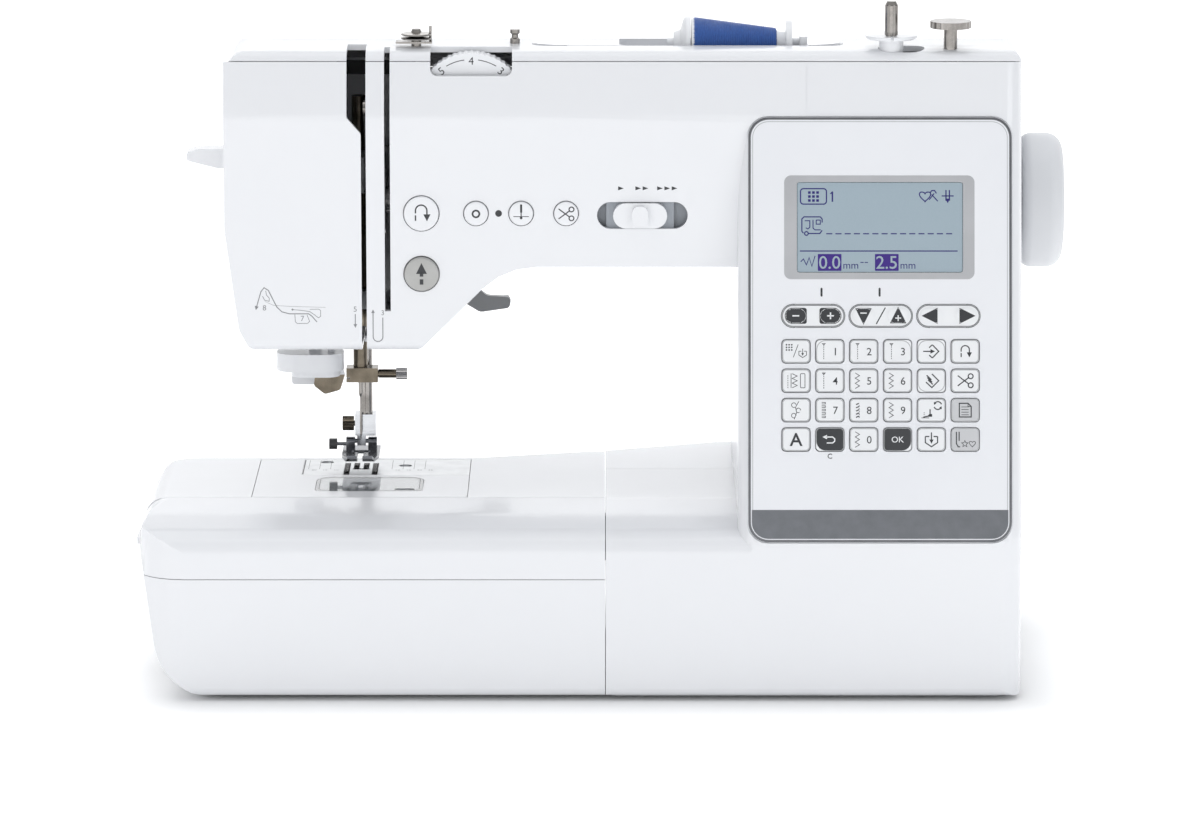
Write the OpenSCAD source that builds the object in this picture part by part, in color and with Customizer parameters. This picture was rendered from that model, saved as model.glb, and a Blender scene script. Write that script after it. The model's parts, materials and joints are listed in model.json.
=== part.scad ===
// Computerised free-arm sewing machine.
// Origin: centre of the footprint at table height. +X runs from the needle to the handwheel,
// +Y points to the rear and +Z points up. Millimetres.

/* [Overall] */
// Width from the left end of the flat bed to the outer face of the handwheel
overall_w = 413; // [409:0.5:417]
// Depth of the base
base_d = 178; // [174:1:184]
// Height of the rubber feet
foot_h = 2.3; // [2:0.1:3]
// Wall thickness of the moulded covers
wall = 2.6; // [2.3:0.1:2.9]
// Joint line between two covers that meet
seam = 0.3; // [0.2:0.05:0.4]
// Running clearance between a moving piece and its surroundings
run_gap = 0.4; // [0.35:0.05:0.6]
// Radial clearance of a shaft or pin in its bore
shaft_gap = 0.05; // [0.03:0.01:0.08]

/* [Bed and free arm] */
// Height of the bed above the table
bed_h = 82.6; // [80.6:0.2:84.6]
// Depth of the free arm
free_arm_d = 90; // [89:0.5:92]
// Depth of the flat-bed attachment in front of the free arm
attach_d = 45; // [44:0.5:46]
// Height of the vertical front face of the base
front_face_h = 70.8; // [69:0.2:72]
// Height of the joint between the storage bin and its lid
bin_h = 55; // [52:0.5:57]
// Width of the flat-bed attachment
attach_w = 207; // [205:0.5:208]
// Clear height under the free arm
sleeve_gap = 17; // [16:0.5:18]
// Depth of the hollow of the free arm, from top to underside
free_arm_t = 50; // [49:0.5:51]

/* [Head and arm] */
// Height of the clear space between the bed and the arm
harp_h = 105.7; // [104:0.5:107]
// Setback of the head's front face from the front of the base
head_setback = 37; // [36:0.5:38]
// Distance of the arm's rear face behind the free arm
arm_back = 20; // [19:0.5:21]
// Width of the head, from its left end to the edge of its sloping side
head_w = 85.6; // [84:0.5:87]
// Height of the head's lower edge above the bed
head_clear = 67.9; // [67:0.5:69]
// Height of the front seam of the top cover
seam_h = 279.6; // [279:0.2:281]
// Height of the crown of the top cover
crown_h = 284; // [283.6:0.1:284.6]
// Backward slope of the top, in degrees
top_slope = 9; // [8.5:0.1:9.5]

/* [Column] */
// Width of the column
column_w = 125.2; // [124.8:0.2:126.4]
// Backward lean of the column's front face, in degrees
lean = 11.5; // [11.3:0.1:11.7]
// Distance that the handwheel stands out from the column
wheel_out = 22.5; // [22:0.5:24]
// Radius of the handwheel
wheel_r = 30.2; // [29:0.2:31]
// Height of the upper shaft above the underside of the arm
shaft_up = 18.5; // [17.7:0.1:19.3]

/* [Needle and presser foot] */
// Distance of the needle from the middle of the machine
needle_off = 110.5; // [110:0.1:111]
// Distance of the needle in front of the rear of the free arm
needle_in = 25.4; // [25.1:0.1:25.7]
// Radius of the needle bar
needle_bar_r = 3.2; // [3:0.05:3.3]
// Radius of the needle's shank
needle_r = 1; // [0.9:0.05:1.05]
// Stroke of the needle bar
stroke = 30; // [29:0.5:31]
// Radius of the presser bar
presser_bar_r = 2.8; // [2.6:0.05:3]
// Distance between the needle bar and the presser bar
bar_pitch = 10; // [9.8:0.1:10.2]
// Lift of the presser foot
foot_lift = 5.3; // [5:0.1:5.6]
// Width of the presser foot's sole
sole_w = 17; // [16:0.2:18]
// Length of the presser foot's sole
sole_l = 34; // [32:0.5:35]

/* [Hook and bobbin] */
// Outer radius of the rotary hook
hook_r = 22.5; // [22:0.1:22.6]
// Radius of the bobbin
bobbin_r = 10.2; // [10:0.1:10.3]
// Height of the bobbin
bobbin_h = 11.5; // [11:0.1:11.7]
// Thickness of the metal needle plate
plate_t = 1; // [0.8:0.1:1.2]

/* [Controls] */
// Radius of the two large buttons
big_button_r = 7.7; // [7.2:0.1:8]
// Radius of the small buttons
small_button_r = 5.3; // [5:0.1:5.6]
// Travel of the buttons
button_travel = 1.2; // [1:0.1:1.4]
// Width of the control panel
panel_w = 116; // [115:0.5:117]
// Height of the control panel, measured along its face
panel_h = 187; // [186:0.5:188]
// Spacing of the keys across the panel
key_pitch_x = 14.85; // [14.7:0.05:15]
// Spacing of the keys down the panel
key_pitch_z = 12.9; // [12.7:0.05:13.1]
// Radius of the thread tension dial
dial_r = 25; // [24.5:0.1:25.3]

/* [Thread stand] */
// Radius of the spool cap
cap_r = 11.8; // [11.4:0.1:12]
// Length of the wound thread on the spool
winding_l = 38; // [37:0.5:39]
// Radius of the bobbin winder's shaft
winder_r = 2.95; // [2.8:0.05:3.05]
// Radius of the bobbin winder's seat
winder_seat_r = 11.6; // [11.2:0.1:12]
// Sideways travel of the bobbin winder
winder_travel = 9; // [8:0.5:9.5]

/* [Hidden] */
$fn = 48;
big = 600;

// Main planes of the machine
left_x = -overall_w / 2;
wheel_x1 = overall_w / 2;
front_y = -base_d / 2;
// The panel starts this far up the leaning face and stands this far out of it;
// the rear of the machine is as far from the middle as its lower edge
panel_s0 = 1;
panel_proud = 0.8;
rear_y = panel_proud * cos(lean) - panel_s0 * sin(lean) - front_y;
arm_y0 = front_y + attach_d;
arm_y1 = arm_y0 + free_arm_d;
column_x1 = wheel_x1 - wheel_out;
column_x0 = column_x1 - column_w;
attach_x1 = left_x + attach_w;
bed_x0 = attach_x1 + seam;
head_y0 = front_y + head_setback;
head_y1 = arm_y1 + arm_back;
needle_x = -needle_off;
needle_y = arm_y1 - needle_in;
head_z0 = bed_h + head_clear;
arm_z0 = bed_h + harp_h;
shaft_h = arm_z0 + shaft_up;
head_x0 = needle_x - 56.9;
head_x1 = head_x0 + head_w;
split_y = needle_y;
under_z = bed_h - free_arm_t;

// Unit vector, and angle of a vector in degrees
function unit(v) = v / norm(v);
function heading(v) = atan2(v.y, v.x);
function wrap(a) = a > 180 ? a - 360 : a < -180 ? a + 360 : a;
function cross2(a, b) = a.x * b.y - a.y * b.x;

// Arc that replaces the corner b between a and c by a fillet of radius r
function fillet(a, b, c, r) =
    let (u = unit(a - b), v = unit(c - b), half = acos(u * v) / 2)
    r < 0.05 || half > 88 ? [b]
    : let (centre = b + unit(u + v) * r / sin(half),
           start = heading(b + u * r / tan(half) - centre),
           turn = wrap(heading(b + v * r / tan(half) - centre) - start),
           n = max(1, ceil(abs(turn) / 15)))
      [for (i = [0:n]) centre + r * [cos(start + turn * i / n), sin(start + turn * i / n)]];

// Outline given as [x, y, radius] corners, with its corners rounded
function rounded(p) =
    let (n = len(p), q = [for (c = p) [c.x, c.y]])
    [for (i = [0:n - 1]) each fillet(q[(i + n - 1) % n], q[i], q[(i + 1) % n], p[i].z)];

// The same outline moved inwards by d, for corners listed anticlockwise
function inset(p, d) =
    let (n = len(p), q = [for (c = p) [c.x, c.y]])
    [for (i = [0:n - 1])
        let (e = unit(q[i] - q[(i + n - 1) % n]), f = unit(q[(i + 1) % n] - q[i]),
             ne = [-e.y, e.x], nf = [-f.y, f.x],
             s = q[i] + d * (ne + nf) / (1 + ne * nf))
        [s.x, s.y, p[i].z == 0 ? 0 : max(0, p[i].z - (cross2(e, f) > 0 ? d : -d))]];

// Outline in the XZ plane, extruded from y0 to y1
module front_form(p, y0, y1) {
    translate([0, y1, 0]) rotate([90, 0, 0]) linear_extrude(y1 - y0) polygon(rounded(p));
}
// Outline in the YZ plane, extruded from x0 to x1
module side_form(p, x0, x1) {
    translate([x0, 0, 0]) rotate([90, 0, 90]) linear_extrude(x1 - x0) polygon(rounded(p));
}
// Outline in the XY plane, extruded from z0 to z1
module plan_form(p, z0, z1) {
    translate([0, 0, z0]) linear_extrude(z1 - z0) polygon(rounded(p));
}
// Box between two corners
module block(a, b) {
    translate(a) cube(b - a);
}
// Cylinders along each axis
module rod_x(x0, x1, y, z, r) {
    translate([x0, y, z]) rotate([0, 90, 0]) cylinder(r = r, h = x1 - x0);
}
module rod_y(y0, y1, x, z, r) {
    translate([x, y1, z]) rotate([90, 0, 0]) cylinder(r = r, h = y1 - y0);
}
module rod_z(z0, z1, x, y, r) {
    translate([x, y, z0]) cylinder(r = r, h = z1 - z0);
}
// Rounded rectangle in plan, centred
function rect(w, d, r, x = 0, y = 0) =
    [[x - w / 2, y - d / 2, r], [x + w / 2, y - d / 2, r],
     [x + w / 2, y + d / 2, r], [x - w / 2, y + d / 2, r]];

// ---- Outer form of the body ----
// The forms run up past the top seam, where the covers are cut open
top_z = crown_h + 40;
// Soft crease of the front, and the lean of the strip above it
crease_z = bed_h + 172;
top_lean = 0.2;
// Height of the top seam at a distance y from the middle
function seam_z(y) = seam_h - (y - head_y0) * tan(top_slope);
// Front view of the head and arm
head_outline = [[head_x0 + 11, head_z0, 5], [head_x1, head_z0, 5],
                [head_x1 + 38, arm_z0, 34], [column_x0 + 30, arm_z0, 0],
                [column_x0 + 30, top_z, 0], [head_x0, top_z, 0],
                [head_x0, head_z0 + 54, 30], [head_x0 + 6, head_z0 + 9.5, 6]];
// Side view of the arm
arm_outline = [[head_y0, head_z0, 5], [head_y1, head_z0, 8], [head_y1, top_z, 0],
               [head_y0 + (top_z - crease_z) * top_lean, top_z, 0], [head_y0, crease_z, 24]];
// Side views of the column and the bed
lean_y = front_y + (crease_z - front_face_h) * tan(lean);
column_rear = rear_y - 8;
column_side = [[front_y, foot_h, 4], [rear_y, foot_h, 4], [rear_y, front_face_h, 30],
               [column_rear, bed_h + 60, 60], [column_rear, top_z, 0],
               [lean_y + (top_z - crease_z) * top_lean, top_z, 0], [lean_y, crease_z, 8],
               [front_y, front_face_h, 16]];
bed_side = [[front_y, foot_h, 4], [rear_y, foot_h, 4], [rear_y, bed_h, 6],
            [arm_y0, bed_h, 30], [arm_y0 - 22, bed_h - 2.8, 40], [front_y + 8, front_face_h + 5, 10],
            [front_y, front_face_h, 8]];
// Plans: rounded front corners of the leaning column, rear corner of the bed
column_plan = [[column_x0, 0, 9], [column_x1, 0, 9], [column_x1, 2 * base_d, 0],
               [column_x0, 2 * base_d, 0]];
column_foot_plan = [[column_x0, front_y, 0], [column_x1, front_y, 10], [column_x1, rear_y, 14],
                    [column_x0, rear_y, 14]];
bed_plan = [[bed_x0, front_y - 1, 0], [column_x0 + 40, front_y - 1, 0],
            [column_x0 + 40, rear_y, 0], [column_x0 + 8, rear_y, 20], [bed_x0, arm_y1 + 17, 0]];

// Solid of the body, with each outline moved inwards by d
module body_form(d) {
    // head and arm
    intersection() {
        front_form(inset(head_outline, d), head_y0 - 1, head_y1 + 1);
        side_form(inset(arm_outline, d), head_x0 - 1, column_x0 + 40);
    }
    // column
    intersection() {
        side_form(inset(column_side, d), column_x0 + d, column_x1 - d);
        translate([0, front_y, front_face_h]) rotate([-lean, 0, 0])
            plan_form(inset(column_plan, d), -big / 2, big / 2);
        plan_form(inset(column_foot_plan, d), 0, big);
    }
    // bed beside the column
    intersection() {
        side_form(inset(bed_side, d), bed_x0 + d, column_x0 + 30);
        plan_form(inset(bed_plan, d), 0, big);
    }
}
// Everything below the top seam
module below_seam(gap = 0) {
    side_form([[-big, -1, 0], [big, -1, 0], [big, seam_z(big) - gap, 0],
               [-big, seam_z(-big) - gap, 0]], -big, big);
}

// ---- Places that several pieces share ----
// Take-up slot: wide at the top, narrow below its diagonal
slot_x1 = needle_x + 5.7;
slot_w = 2.2;
slot_top_w = 8.4;
slot_step_z = crease_z;
// Second slot, for the thread on its way to the tension discs
tension_slot_x = slot_x1 + 8.1;
tension_slot_w = 2.5;
tension_slot_z0 = head_z0 + 18;
// Opening in the underside of the head
head_hole = [[needle_x - 40, needle_y - 24, 4], [needle_x + 14, needle_y - 24, 4],
             [needle_x + 14, needle_y + 19, 4], [needle_x - 40, needle_y + 19, 4]];
// Needle bar, presser bar and the shafts
presser_x = needle_x + 2.2;
presser_y = needle_y + bar_pitch;
clamp_z = bed_h + 41;
clamp_h = 6.5;
hook_x = needle_x + 5.1;
hook_dist = hook_r + needle_r + 0.3;
hook_y = needle_y - sqrt(hook_dist * hook_dist - 26.01);
hook_z0 = bed_h - 20;
hook_z1 = bed_h - 6.8;
low_z = bed_h - 32.6;
low_y = hook_y + 12.2;
shaft_r = 6;
low_r = 4;
// Frame plate behind the shafts
plate_y0 = needle_y + 31.4;
plate_y1 = plate_y0 + 5;
// Belt drives: x of the belts, radii of the pulleys
timing_x = column_x0 + 12;
timing_w = 8;
timing_r = 9;
motor_x = timing_x + 14;
motor_w = 8.6;
big_pulley_r = 28;
small_pulley_r = 7;
motor_y = needle_y + 4.4;
motor_z = foot_h + 59.7;
motor_r = 24;
// Controls on the arm
big_x = needle_x + 30;
button_z = bed_h + 129.6;
start_z = bed_h + 102.6;
small_x = [needle_x + 54.1, needle_x + 74, needle_x + 93.8];
speed_x = needle_x + 127.4;
speed_w = 40;
speed_h = 12;
speed_z = bed_h + 128.7;
knob_w = 23.8;
dial_x = needle_x + 52.1;
dial_z = crown_h - 1.4 - dial_r;
dial_y0 = head_y0 + 7.6;
dial_t = 8.4;
window_w = 36;
window_z0 = crown_h - 11.4;
// Control panel, in the plane of the leaning face: x and the distance s up the face
panel_x = column_x0 + column_w / 2 - 0.2;
panel_t = 2.2;
panel_seat = panel_t - panel_proud;
key_w = 12.1;
key_h = 10;
key_row_s = 46.3;
key_col_x = panel_x - 36.9;
rocker_s = 100.6;
rocker_w = 27.7;
rocker_h = 9.9;
rocker_pitch = 29.7;
rocker_x = panel_x - 29.4;
lcd_x = panel_x;
lcd_s0 = 119.8;
lcd_w = 72.6;
lcd_h = 39.4;
// Bed plates
cover_x0 = needle_x - 46.5;
cover_x1 = needle_x + 49.5;
cover_y0 = arm_y0 + 2;
cover_y1 = arm_y1 - 4;
metal_x0 = needle_x - 26.5;
metal_y0 = needle_y - 13.7;
cover_t = 2;
lid_y0 = hook_y - 26.3;
lid_y1 = metal_y0 - 4.5;
lid_w = 48;
feed_travel = 2.5;
feed_row_w = 1.8;
foot_down = 1.3;
foot_z = bed_h + foot_down + foot_lift;
pin_y = needle_y + 7.6;
pin_z = foot_z + 5;
// Top of the machine: seat plane of the fittings
spool_y = head_y0 + 34;
spool_z = crown_h - 0.7;
spool_x0 = column_x0 - 28;
cap_t = 7.5;
tub = [[spool_x0 - 24, spool_y - 13.2, 4], [column_x0 + 31.6, spool_y - 13.2, 4],
       [column_x0 + 31.6, spool_y + 13.2, 4], [spool_x0 - 24, spool_y + 13.2, 4]];
tub_floor = spool_z - 14;
winder_x = column_x0 + 67.7;
winder_y = head_y0 + 14;
winder_z = crown_h + 4;
axle_r = winder_r - 0.6;
stop_x = winder_x + 26.1;
handle_y = head_y0 + 26;
handle_z = crown_h - 3.4;
handle_x0 = needle_x + 79.7;
handle_x1 = column_x0 + 46;
handle_arm = 13.6;
handle_len = 58;
handle_t = 5.6;
pin_in = 3;

// Placement in the plane of the leaning front face of the column
module on_panel() {
    translate([0, front_y, front_face_h]) rotate([-lean, 0, 0]) children();
}
// Everything left of the take-up slot, and the slot itself, in front view
slot_edge = [[slot_x1 - slot_w, 0, 0], [slot_x1 - slot_w, slot_step_z - 7, 2],
             [slot_x1 - slot_top_w, slot_step_z, 2], [slot_x1 - slot_top_w, top_z, 0]];
module left_of_slot() {
    front_form(concat([[-big, 0, 0]], slot_edge, [[-big, top_z, 0]]), -big, split_y);
}
module take_up_slot() {
    front_form(concat([[slot_x1, 0, 0], [slot_x1, top_z, 0]], [for (i = [3:-1:0]) slot_edge[i]]),
               head_y0 - 5, head_y0 + 24);
}
module tension_slot() {
    block([tension_slot_x, head_y0 - 5, tension_slot_z0],
          [tension_slot_x + tension_slot_w, head_y0 + 16, top_z]);
}
// Rounded slot across the front, from y0 to y1
module stadium(x, z, w, h, y0, y1) {
    front_form([[x - w / 2, z - h / 2, h / 2 - 0.01], [x + w / 2, z - h / 2, h / 2 - 0.01],
                [x + w / 2, z + h / 2, h / 2 - 0.01], [x - w / 2, z + h / 2, h / 2 - 0.01]], y0, y1);
}
// Window of the tension dial
module dial_window() {
    front_form([[dial_x - window_w / 2, window_z0, 3], [dial_x + window_w / 2, window_z0, 3],
                [dial_x + window_w / 2, top_z, 0], [dial_x - window_w / 2, top_z, 0]],
               head_y0 - 5, dial_y0 + dial_t + 1);
}
// Passages between the column and the free arm, and for the shaft and the inlet
module arm_passage() {
    block([bed_x0 - 1, arm_y0 + wall + 1, under_z + wall + 1],
          [bed_x0 + wall + 1, arm_y1 - wall - 1, bed_h - wall - 1]);
}
module shaft_passage() {
    rod_x(column_x1 - wall - 1, column_x1 + 1, needle_y, shaft_h, shaft_r + 1);
}
inlet_y1 = rear_y - 16;
inlet_y0 = inlet_y1 - 44;
inlet_z0 = foot_h + 22;
inlet_z1 = inlet_z0 + 34;
module inlet_hole(gap) {
    block([column_x1 - wall - 1, inlet_y0 - gap, inlet_z0 - gap],
          [column_x1 + 1, inlet_y1 + gap, inlet_z1 + gap]);
}
// The shell of the body below the top seam, closed at the bottom only by the base tray
// Opening under the base, which the tray fills
function foot_opening(d) =
    [[bed_x0 + d, front_y + d, 0], [column_x1 - d, front_y + d, 9],
     [column_x1 - d, rear_y - d, 12], [column_x0 + 20, rear_y - d, 0],
     [bed_x0 + d, arm_y1 + 14 - d, 0]];
heel_y0 = arm_y0 + 6;
heel_y1 = arm_y1 - 8;
module body_shell() {
    difference() {
        intersection() {
            body_form(0);
            below_seam();
        }
        body_form(wall);
        arm_passage();
        plan_form(foot_opening(wall), -1, foot_h + wall + 1);
        // notch over the heel of the tray
        block([bed_x0 - 1, heel_y0 - seam, 0], [bed_x0 + wall + 1, heel_y1 + seam, foot_h + 2 + seam]);
        plan_form(head_hole, head_z0 - 1, head_z0 + wall + 4);
        shaft_passage();
    }
}
// Screws through the rear cover: [x, z] at the arm's and at the column's rear face
screw_r = 2;
screw_head_r = 3.6;
arm_screws = [[head_x0 + 18, arm_z0 + 34], [column_x0 - 48.8, arm_z0 + 34]];
column_screws = [[column_x1 - 14, arm_z0 + 34], [column_x1 - 14, bed_h + 76]];
module rear_screw(x, z, y, gap) {
    rod_y(y - 9, y + 1, x, z, screw_r + gap);
    rod_y(y - 1.2, y + 1, x, z, screw_head_r + 4 * gap);
}

// ---- Housing ----
module front_cover() {
    color("whitesmoke") difference() {
        intersection() {
            body_shell();
            block([-big / 2, front_y - 1, 0], [big / 2, split_y - seam / 2, big]);
        }
        translate([seam, 0, 0]) left_of_slot();
        take_up_slot();
        tension_slot();
        dial_window();
        for (z = [button_z, start_z])
            rod_y(head_y0 - 5, head_y0 + 20, big_x, z, big_button_r + run_gap);
        for (x = small_x)
            rod_y(head_y0 - 5, head_y0 + 20, x, button_z, small_button_r + run_gap);
        stadium(speed_x, speed_z, speed_w, speed_h, head_y0 - 5, head_y0 + 20);
        on_panel() {
            front_form(panel_outline(seam), -5, panel_seat);
            front_form(panel_outline(-6), -5, 20);
        }
    }
}
function panel_outline(grow) = rect(panel_w + 2 * grow, panel_h + 2 * grow, 9 + grow / 2,
                                    panel_x, panel_s0 + panel_h / 2);

module rear_cover() {
    color("whitesmoke") difference() {
        intersection() {
            body_shell();
            block([-big / 2, split_y + seam / 2, 0], [big / 2, rear_y + 1, big]);
        }
        for (p = arm_screws) rear_screw(p.x, p.y, head_y1, shaft_gap);
        for (p = column_screws) rear_screw(p.x, p.y, column_rear, shaft_gap);
        inlet_hole(seam);
        rod_y(head_y1 - 9, head_y1 + 1, lever_x, lever_z, 2.5 + shaft_gap);
    }
}
threader_y = head_y0 + 55;
threader_z = bed_h + 146.6;
threader_travel = 44;
module face_plate() {
    color("whitesmoke") difference() {
        intersection() {
            body_shell();
            left_of_slot();
            block([-big / 2, front_y - 1, 0], [big / 2, split_y - seam / 2, big]);
        }
        block([head_x0 - 5, threader_y - 3, threader_z - threader_travel - 4],
              [head_x0 + 20, threader_y + 3, threader_z + 4]);
    }
}
// Crown of the top cover, each outline moved inwards by d; it runs down past the seam
crown_low = seam_h - 70;
crown_side = [[head_y0 + 5.4, crown_low, 0], [column_rear, crown_low, 0],
              [column_rear, crown_h - 20, 5], [head_y0 + 50, crown_h, 60],
              [head_y0 + 15, crown_h, 24], [head_y0 + 5.4, seam_h + 2.6, 5]];
crown_front = [[head_x0, crown_low, 0], [column_x1, crown_low, 0], [column_x1, crown_h, 7],
               [head_x0 + 40, crown_h + 0.6, 60], [head_x0 + 5, crown_h - 1, 9],
               [head_x0, crown_h - 9, 9]];
crown_plan = [[head_x0, head_y0, 0], [column_x1, head_y0, 0], [column_x1, column_rear, 14],
              [column_x0, column_rear, 0], [column_x0, head_y1, 0], [head_x0, head_y1, 10]];
module crown(d) {
    intersection() {
        side_form(inset(crown_side, d), head_x0 + d, column_x1 - d);
        front_form(inset(crown_front, d), head_y0, column_rear);
        plan_form(inset(crown_plan, d), crown_low, top_z);
    }
}
// Pockets of the top cover: spool tub, handle well and finger well
finger_y = handle_y + handle_len - handle_arm - 13;
module pockets(grow) {
    plan_form(inset(tub, -grow), tub_floor - grow, top_z);
    plan_form(inset(rect(86, 14, 4, handle_mid, finger_y), -grow), tub_floor - grow + 2, top_z);
    in_handle() difference() {
        translate([0, 0, -handle_t / 2 - 1 - grow])
            linear_extrude(40) polygon(rounded(inset(handle_outer, -1 - grow)));
        translate([0, 0, -handle_t / 2 - 2 - grow])
            linear_extrude(44) polygon(rounded(inset(handle_inner, 1 + grow)));
    }
    // deeper at the heels of the handle, which swing down when it is raised
    in_handle() intersection() {
        translate([0, 0, -heel_r - grow])
            linear_extrude(40) polygon(rounded(inset(handle_outer, -1 - grow)));
        for (x = [handle_x0, handle_x1 - handle_arm])
            block([x - 1 - grow, -big, -heel_r - grow - 1],
                  [x + handle_arm + 1 + grow, heel_r + grow, 41]);
    }
}
module top_cover() {
    color("whitesmoke") difference() {
        union() {
            difference() {
                crown(0);
                crown(wall);
                below_seam(-seam);
            }
            intersection() {
                crown(0);
                pockets(wall);
            }
        }
        pockets(0);
        dial_window();
        take_up_slot();
        tension_slot();
        // slot in which the bobbin winder slides, and the bore of its stop
        plan_form(rect(winder_travel + 2 * (stem_r + seam), 2 * (stem_r + seam), stem_r + seam - 0.2,
                       winder_x + winder_travel / 2, winder_y), seam_h - 5, top_z);
        rod_z(seam_h - 10, top_z, stop_x, winder_y, 3 + shaft_gap);
        // bores of the handle's pins
        for (x = [handle_x0 - pin_in - 1, handle_x1 - 1])
            rod_x(x, x + pin_in + 2, handle_y, handle_z, 2 + shaft_gap);
    }
}
// Carry handle, lying in its well: x across, y to the rear from the pins, z up
handle_tilt = 8;
handle_mid = (handle_x0 + handle_x1) / 2;
handle_outer = [[handle_x0, -6, 5], [handle_x1, -6, 5], [handle_x1, handle_len, 11],
                [handle_x0, handle_len, 11]];
handle_inner = [[handle_x0 + handle_arm, -7, 0], [handle_x1 - handle_arm, -7, 0],
                [handle_x1 - handle_arm, handle_len - handle_arm, 6],
                [handle_x0 + handle_arm, handle_len - handle_arm, 6]];
heel_r = 7.2;
module in_handle() {
    translate([0, handle_y, handle_z]) rotate([-handle_tilt, 0, 0]) children();
}
module carry_handle() {
    color("whitesmoke") {
        in_handle() translate([0, 0, -handle_t / 2]) difference() {
            linear_extrude(handle_t) polygon(rounded(handle_outer));
            translate([0, 0, -1]) linear_extrude(handle_t + 2) polygon(rounded(handle_inner));
            // groove under the grip
            translate([handle_x0 + 20, handle_len - 10.5, -1])
                cube([handle_x1 - handle_x0 - 40, 6, 2.8]);
        }
        rod_x(handle_x0 - pin_in, handle_x0 + 1, handle_y, handle_z, 2);
        rod_x(handle_x1 - 1, handle_x1 + pin_in, handle_y, handle_z, 2);
    }
}

// Bottom tray: closes the base and carries the free arm's foot
tray_x0 = left_x + 24;
tray_z1 = under_z - sleeve_gap;
foot_r = 7;
feet = [[tray_x0 + 16, arm_y0 + 14], [tray_x0 + 16, arm_y1 - 16],
        [column_x1 - 16, front_y + 18], [column_x1 - 16, rear_y - 18]];
module base_tray() {
    fit = wall + seam;
    color("gainsboro") difference() {
        union() {
            plan_form(foot_opening(fit), foot_h, foot_h + 3);
            plan_form([[tray_x0, arm_y0 + seam, 8], [bed_x0 - seam, arm_y0 + seam, 0],
                       [bed_x0 - seam, arm_y1 - 2, 0], [tray_x0, arm_y1 - 2, 14]],
                      foot_h, tray_z1);
            // heel that ties both halves together under the cover's side wall
            block([bed_x0 - 2, heel_y0, foot_h], [bed_x0 + fit + 2, heel_y1, foot_h + 2]);
        }
        // hollow of the long foot, open below, with a boss over each rubber foot
        difference() {
            plan_form([[tray_x0 + 3, arm_y0 + 3.3, 6], [bed_x0 - 4, arm_y0 + 3.3, 0],
                       [bed_x0 - 4, arm_y1 - 5, 0], [tray_x0 + 3, arm_y1 - 5, 12]],
                      foot_h - 1, tray_z1 - 3);
            for (p = feet) rod_z(foot_h - 2, tray_z1, p.x, p.y, foot_r + 3);
        }
        for (p = feet) rod_z(foot_h - 1, foot_h + 1.2, p.x, p.y, foot_r + 0.2);
        // vents under the motor
        for (i = [0:6])
            block([motor_x + 16 + 7 * i, motor_y - 20, foot_h - 1],
                  [motor_x + 19 + 7 * i, motor_y + 20, foot_h + 4]);
    }
}
module rubber_feet() {
    color("dimgray") for (p = feet)
        rotate_extrude_at(p.x, p.y) polygon([[0, 0], [foot_r - 1.2, 0], [foot_r, 1.2],
                                             [foot_r, foot_h + 1], [0, foot_h + 1]]);
}
module rotate_extrude_at(x, y) {
    translate([x, y, 0]) rotate_extrude() children();
}
module housing_screws() {
    color("silver") {
        for (p = arm_screws) rear_screw_solid(p.x, p.y, head_y1);
        for (p = column_screws) rear_screw_solid(p.x, p.y, column_rear);
    }
}
module rear_screw_solid(x, z, y) {
    difference() {
        union() {
            rod_y(y - 8.8, y - 1, x, z, screw_r);
            rod_y(y - 1.2, y - 0.1, x, z, screw_head_r);
        }
        for (a = [0, 90]) translate([x, y - 0.5, z]) rotate([0, a, 0])
            cube([4, 1.2, 0.8], center = true);
    }
}

// ---- Free arm ----
arm_front = [[left_x + 8, under_z, 12], [attach_x1, under_z, 0], [attach_x1, bed_h, 0],
             [left_x + 1.5, bed_h, 9], [left_x + 2.5, bed_h - 20, 20]];
arm_side = [[arm_y0, under_z, 5], [arm_y1 + 20, under_z, 8], [arm_y1 + 20, bed_h, 6],
            [arm_y0, bed_h, 0.8]];
arm_plan = [[left_x, arm_y0, 1.5], [attach_x1, arm_y0, 0], [attach_x1, arm_y1 + 17, 0],
            [cover_x1 + 2, arm_y1, 40], [left_x + 7.5, arm_y1, 16]];
module free_arm(d) {
    intersection() {
        front_form(inset(arm_front, d), arm_y0 - 1, arm_y1 + 30);
        side_form(inset(arm_side, d), left_x, attach_x1);
        plan_form(inset(arm_plan, d), under_z - 1, bed_h + 1);
    }
}
module free_arm_cover() {
    color("whitesmoke") difference() {
        free_arm(0);
        free_arm(wall);
        block([attach_x1 - wall - 1, arm_y0 + wall + 1, under_z + wall + 1],
              [attach_x1 + 1, arm_y1 - wall - 1, bed_h - wall - 1]);
        // seat of the needle plate cover, and the well below it
        block([cover_x0 - seam, cover_y0 - seam, bed_h - cover_t],
              [cover_x1 + seam, cover_y1 + seam, bed_h + 1]);
        block([cover_x0 + 4, cover_y0 + 3, bed_h - wall - 1],
              [cover_x1 - 4, cover_y1 - 3, bed_h + 1]);
    }
}
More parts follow.
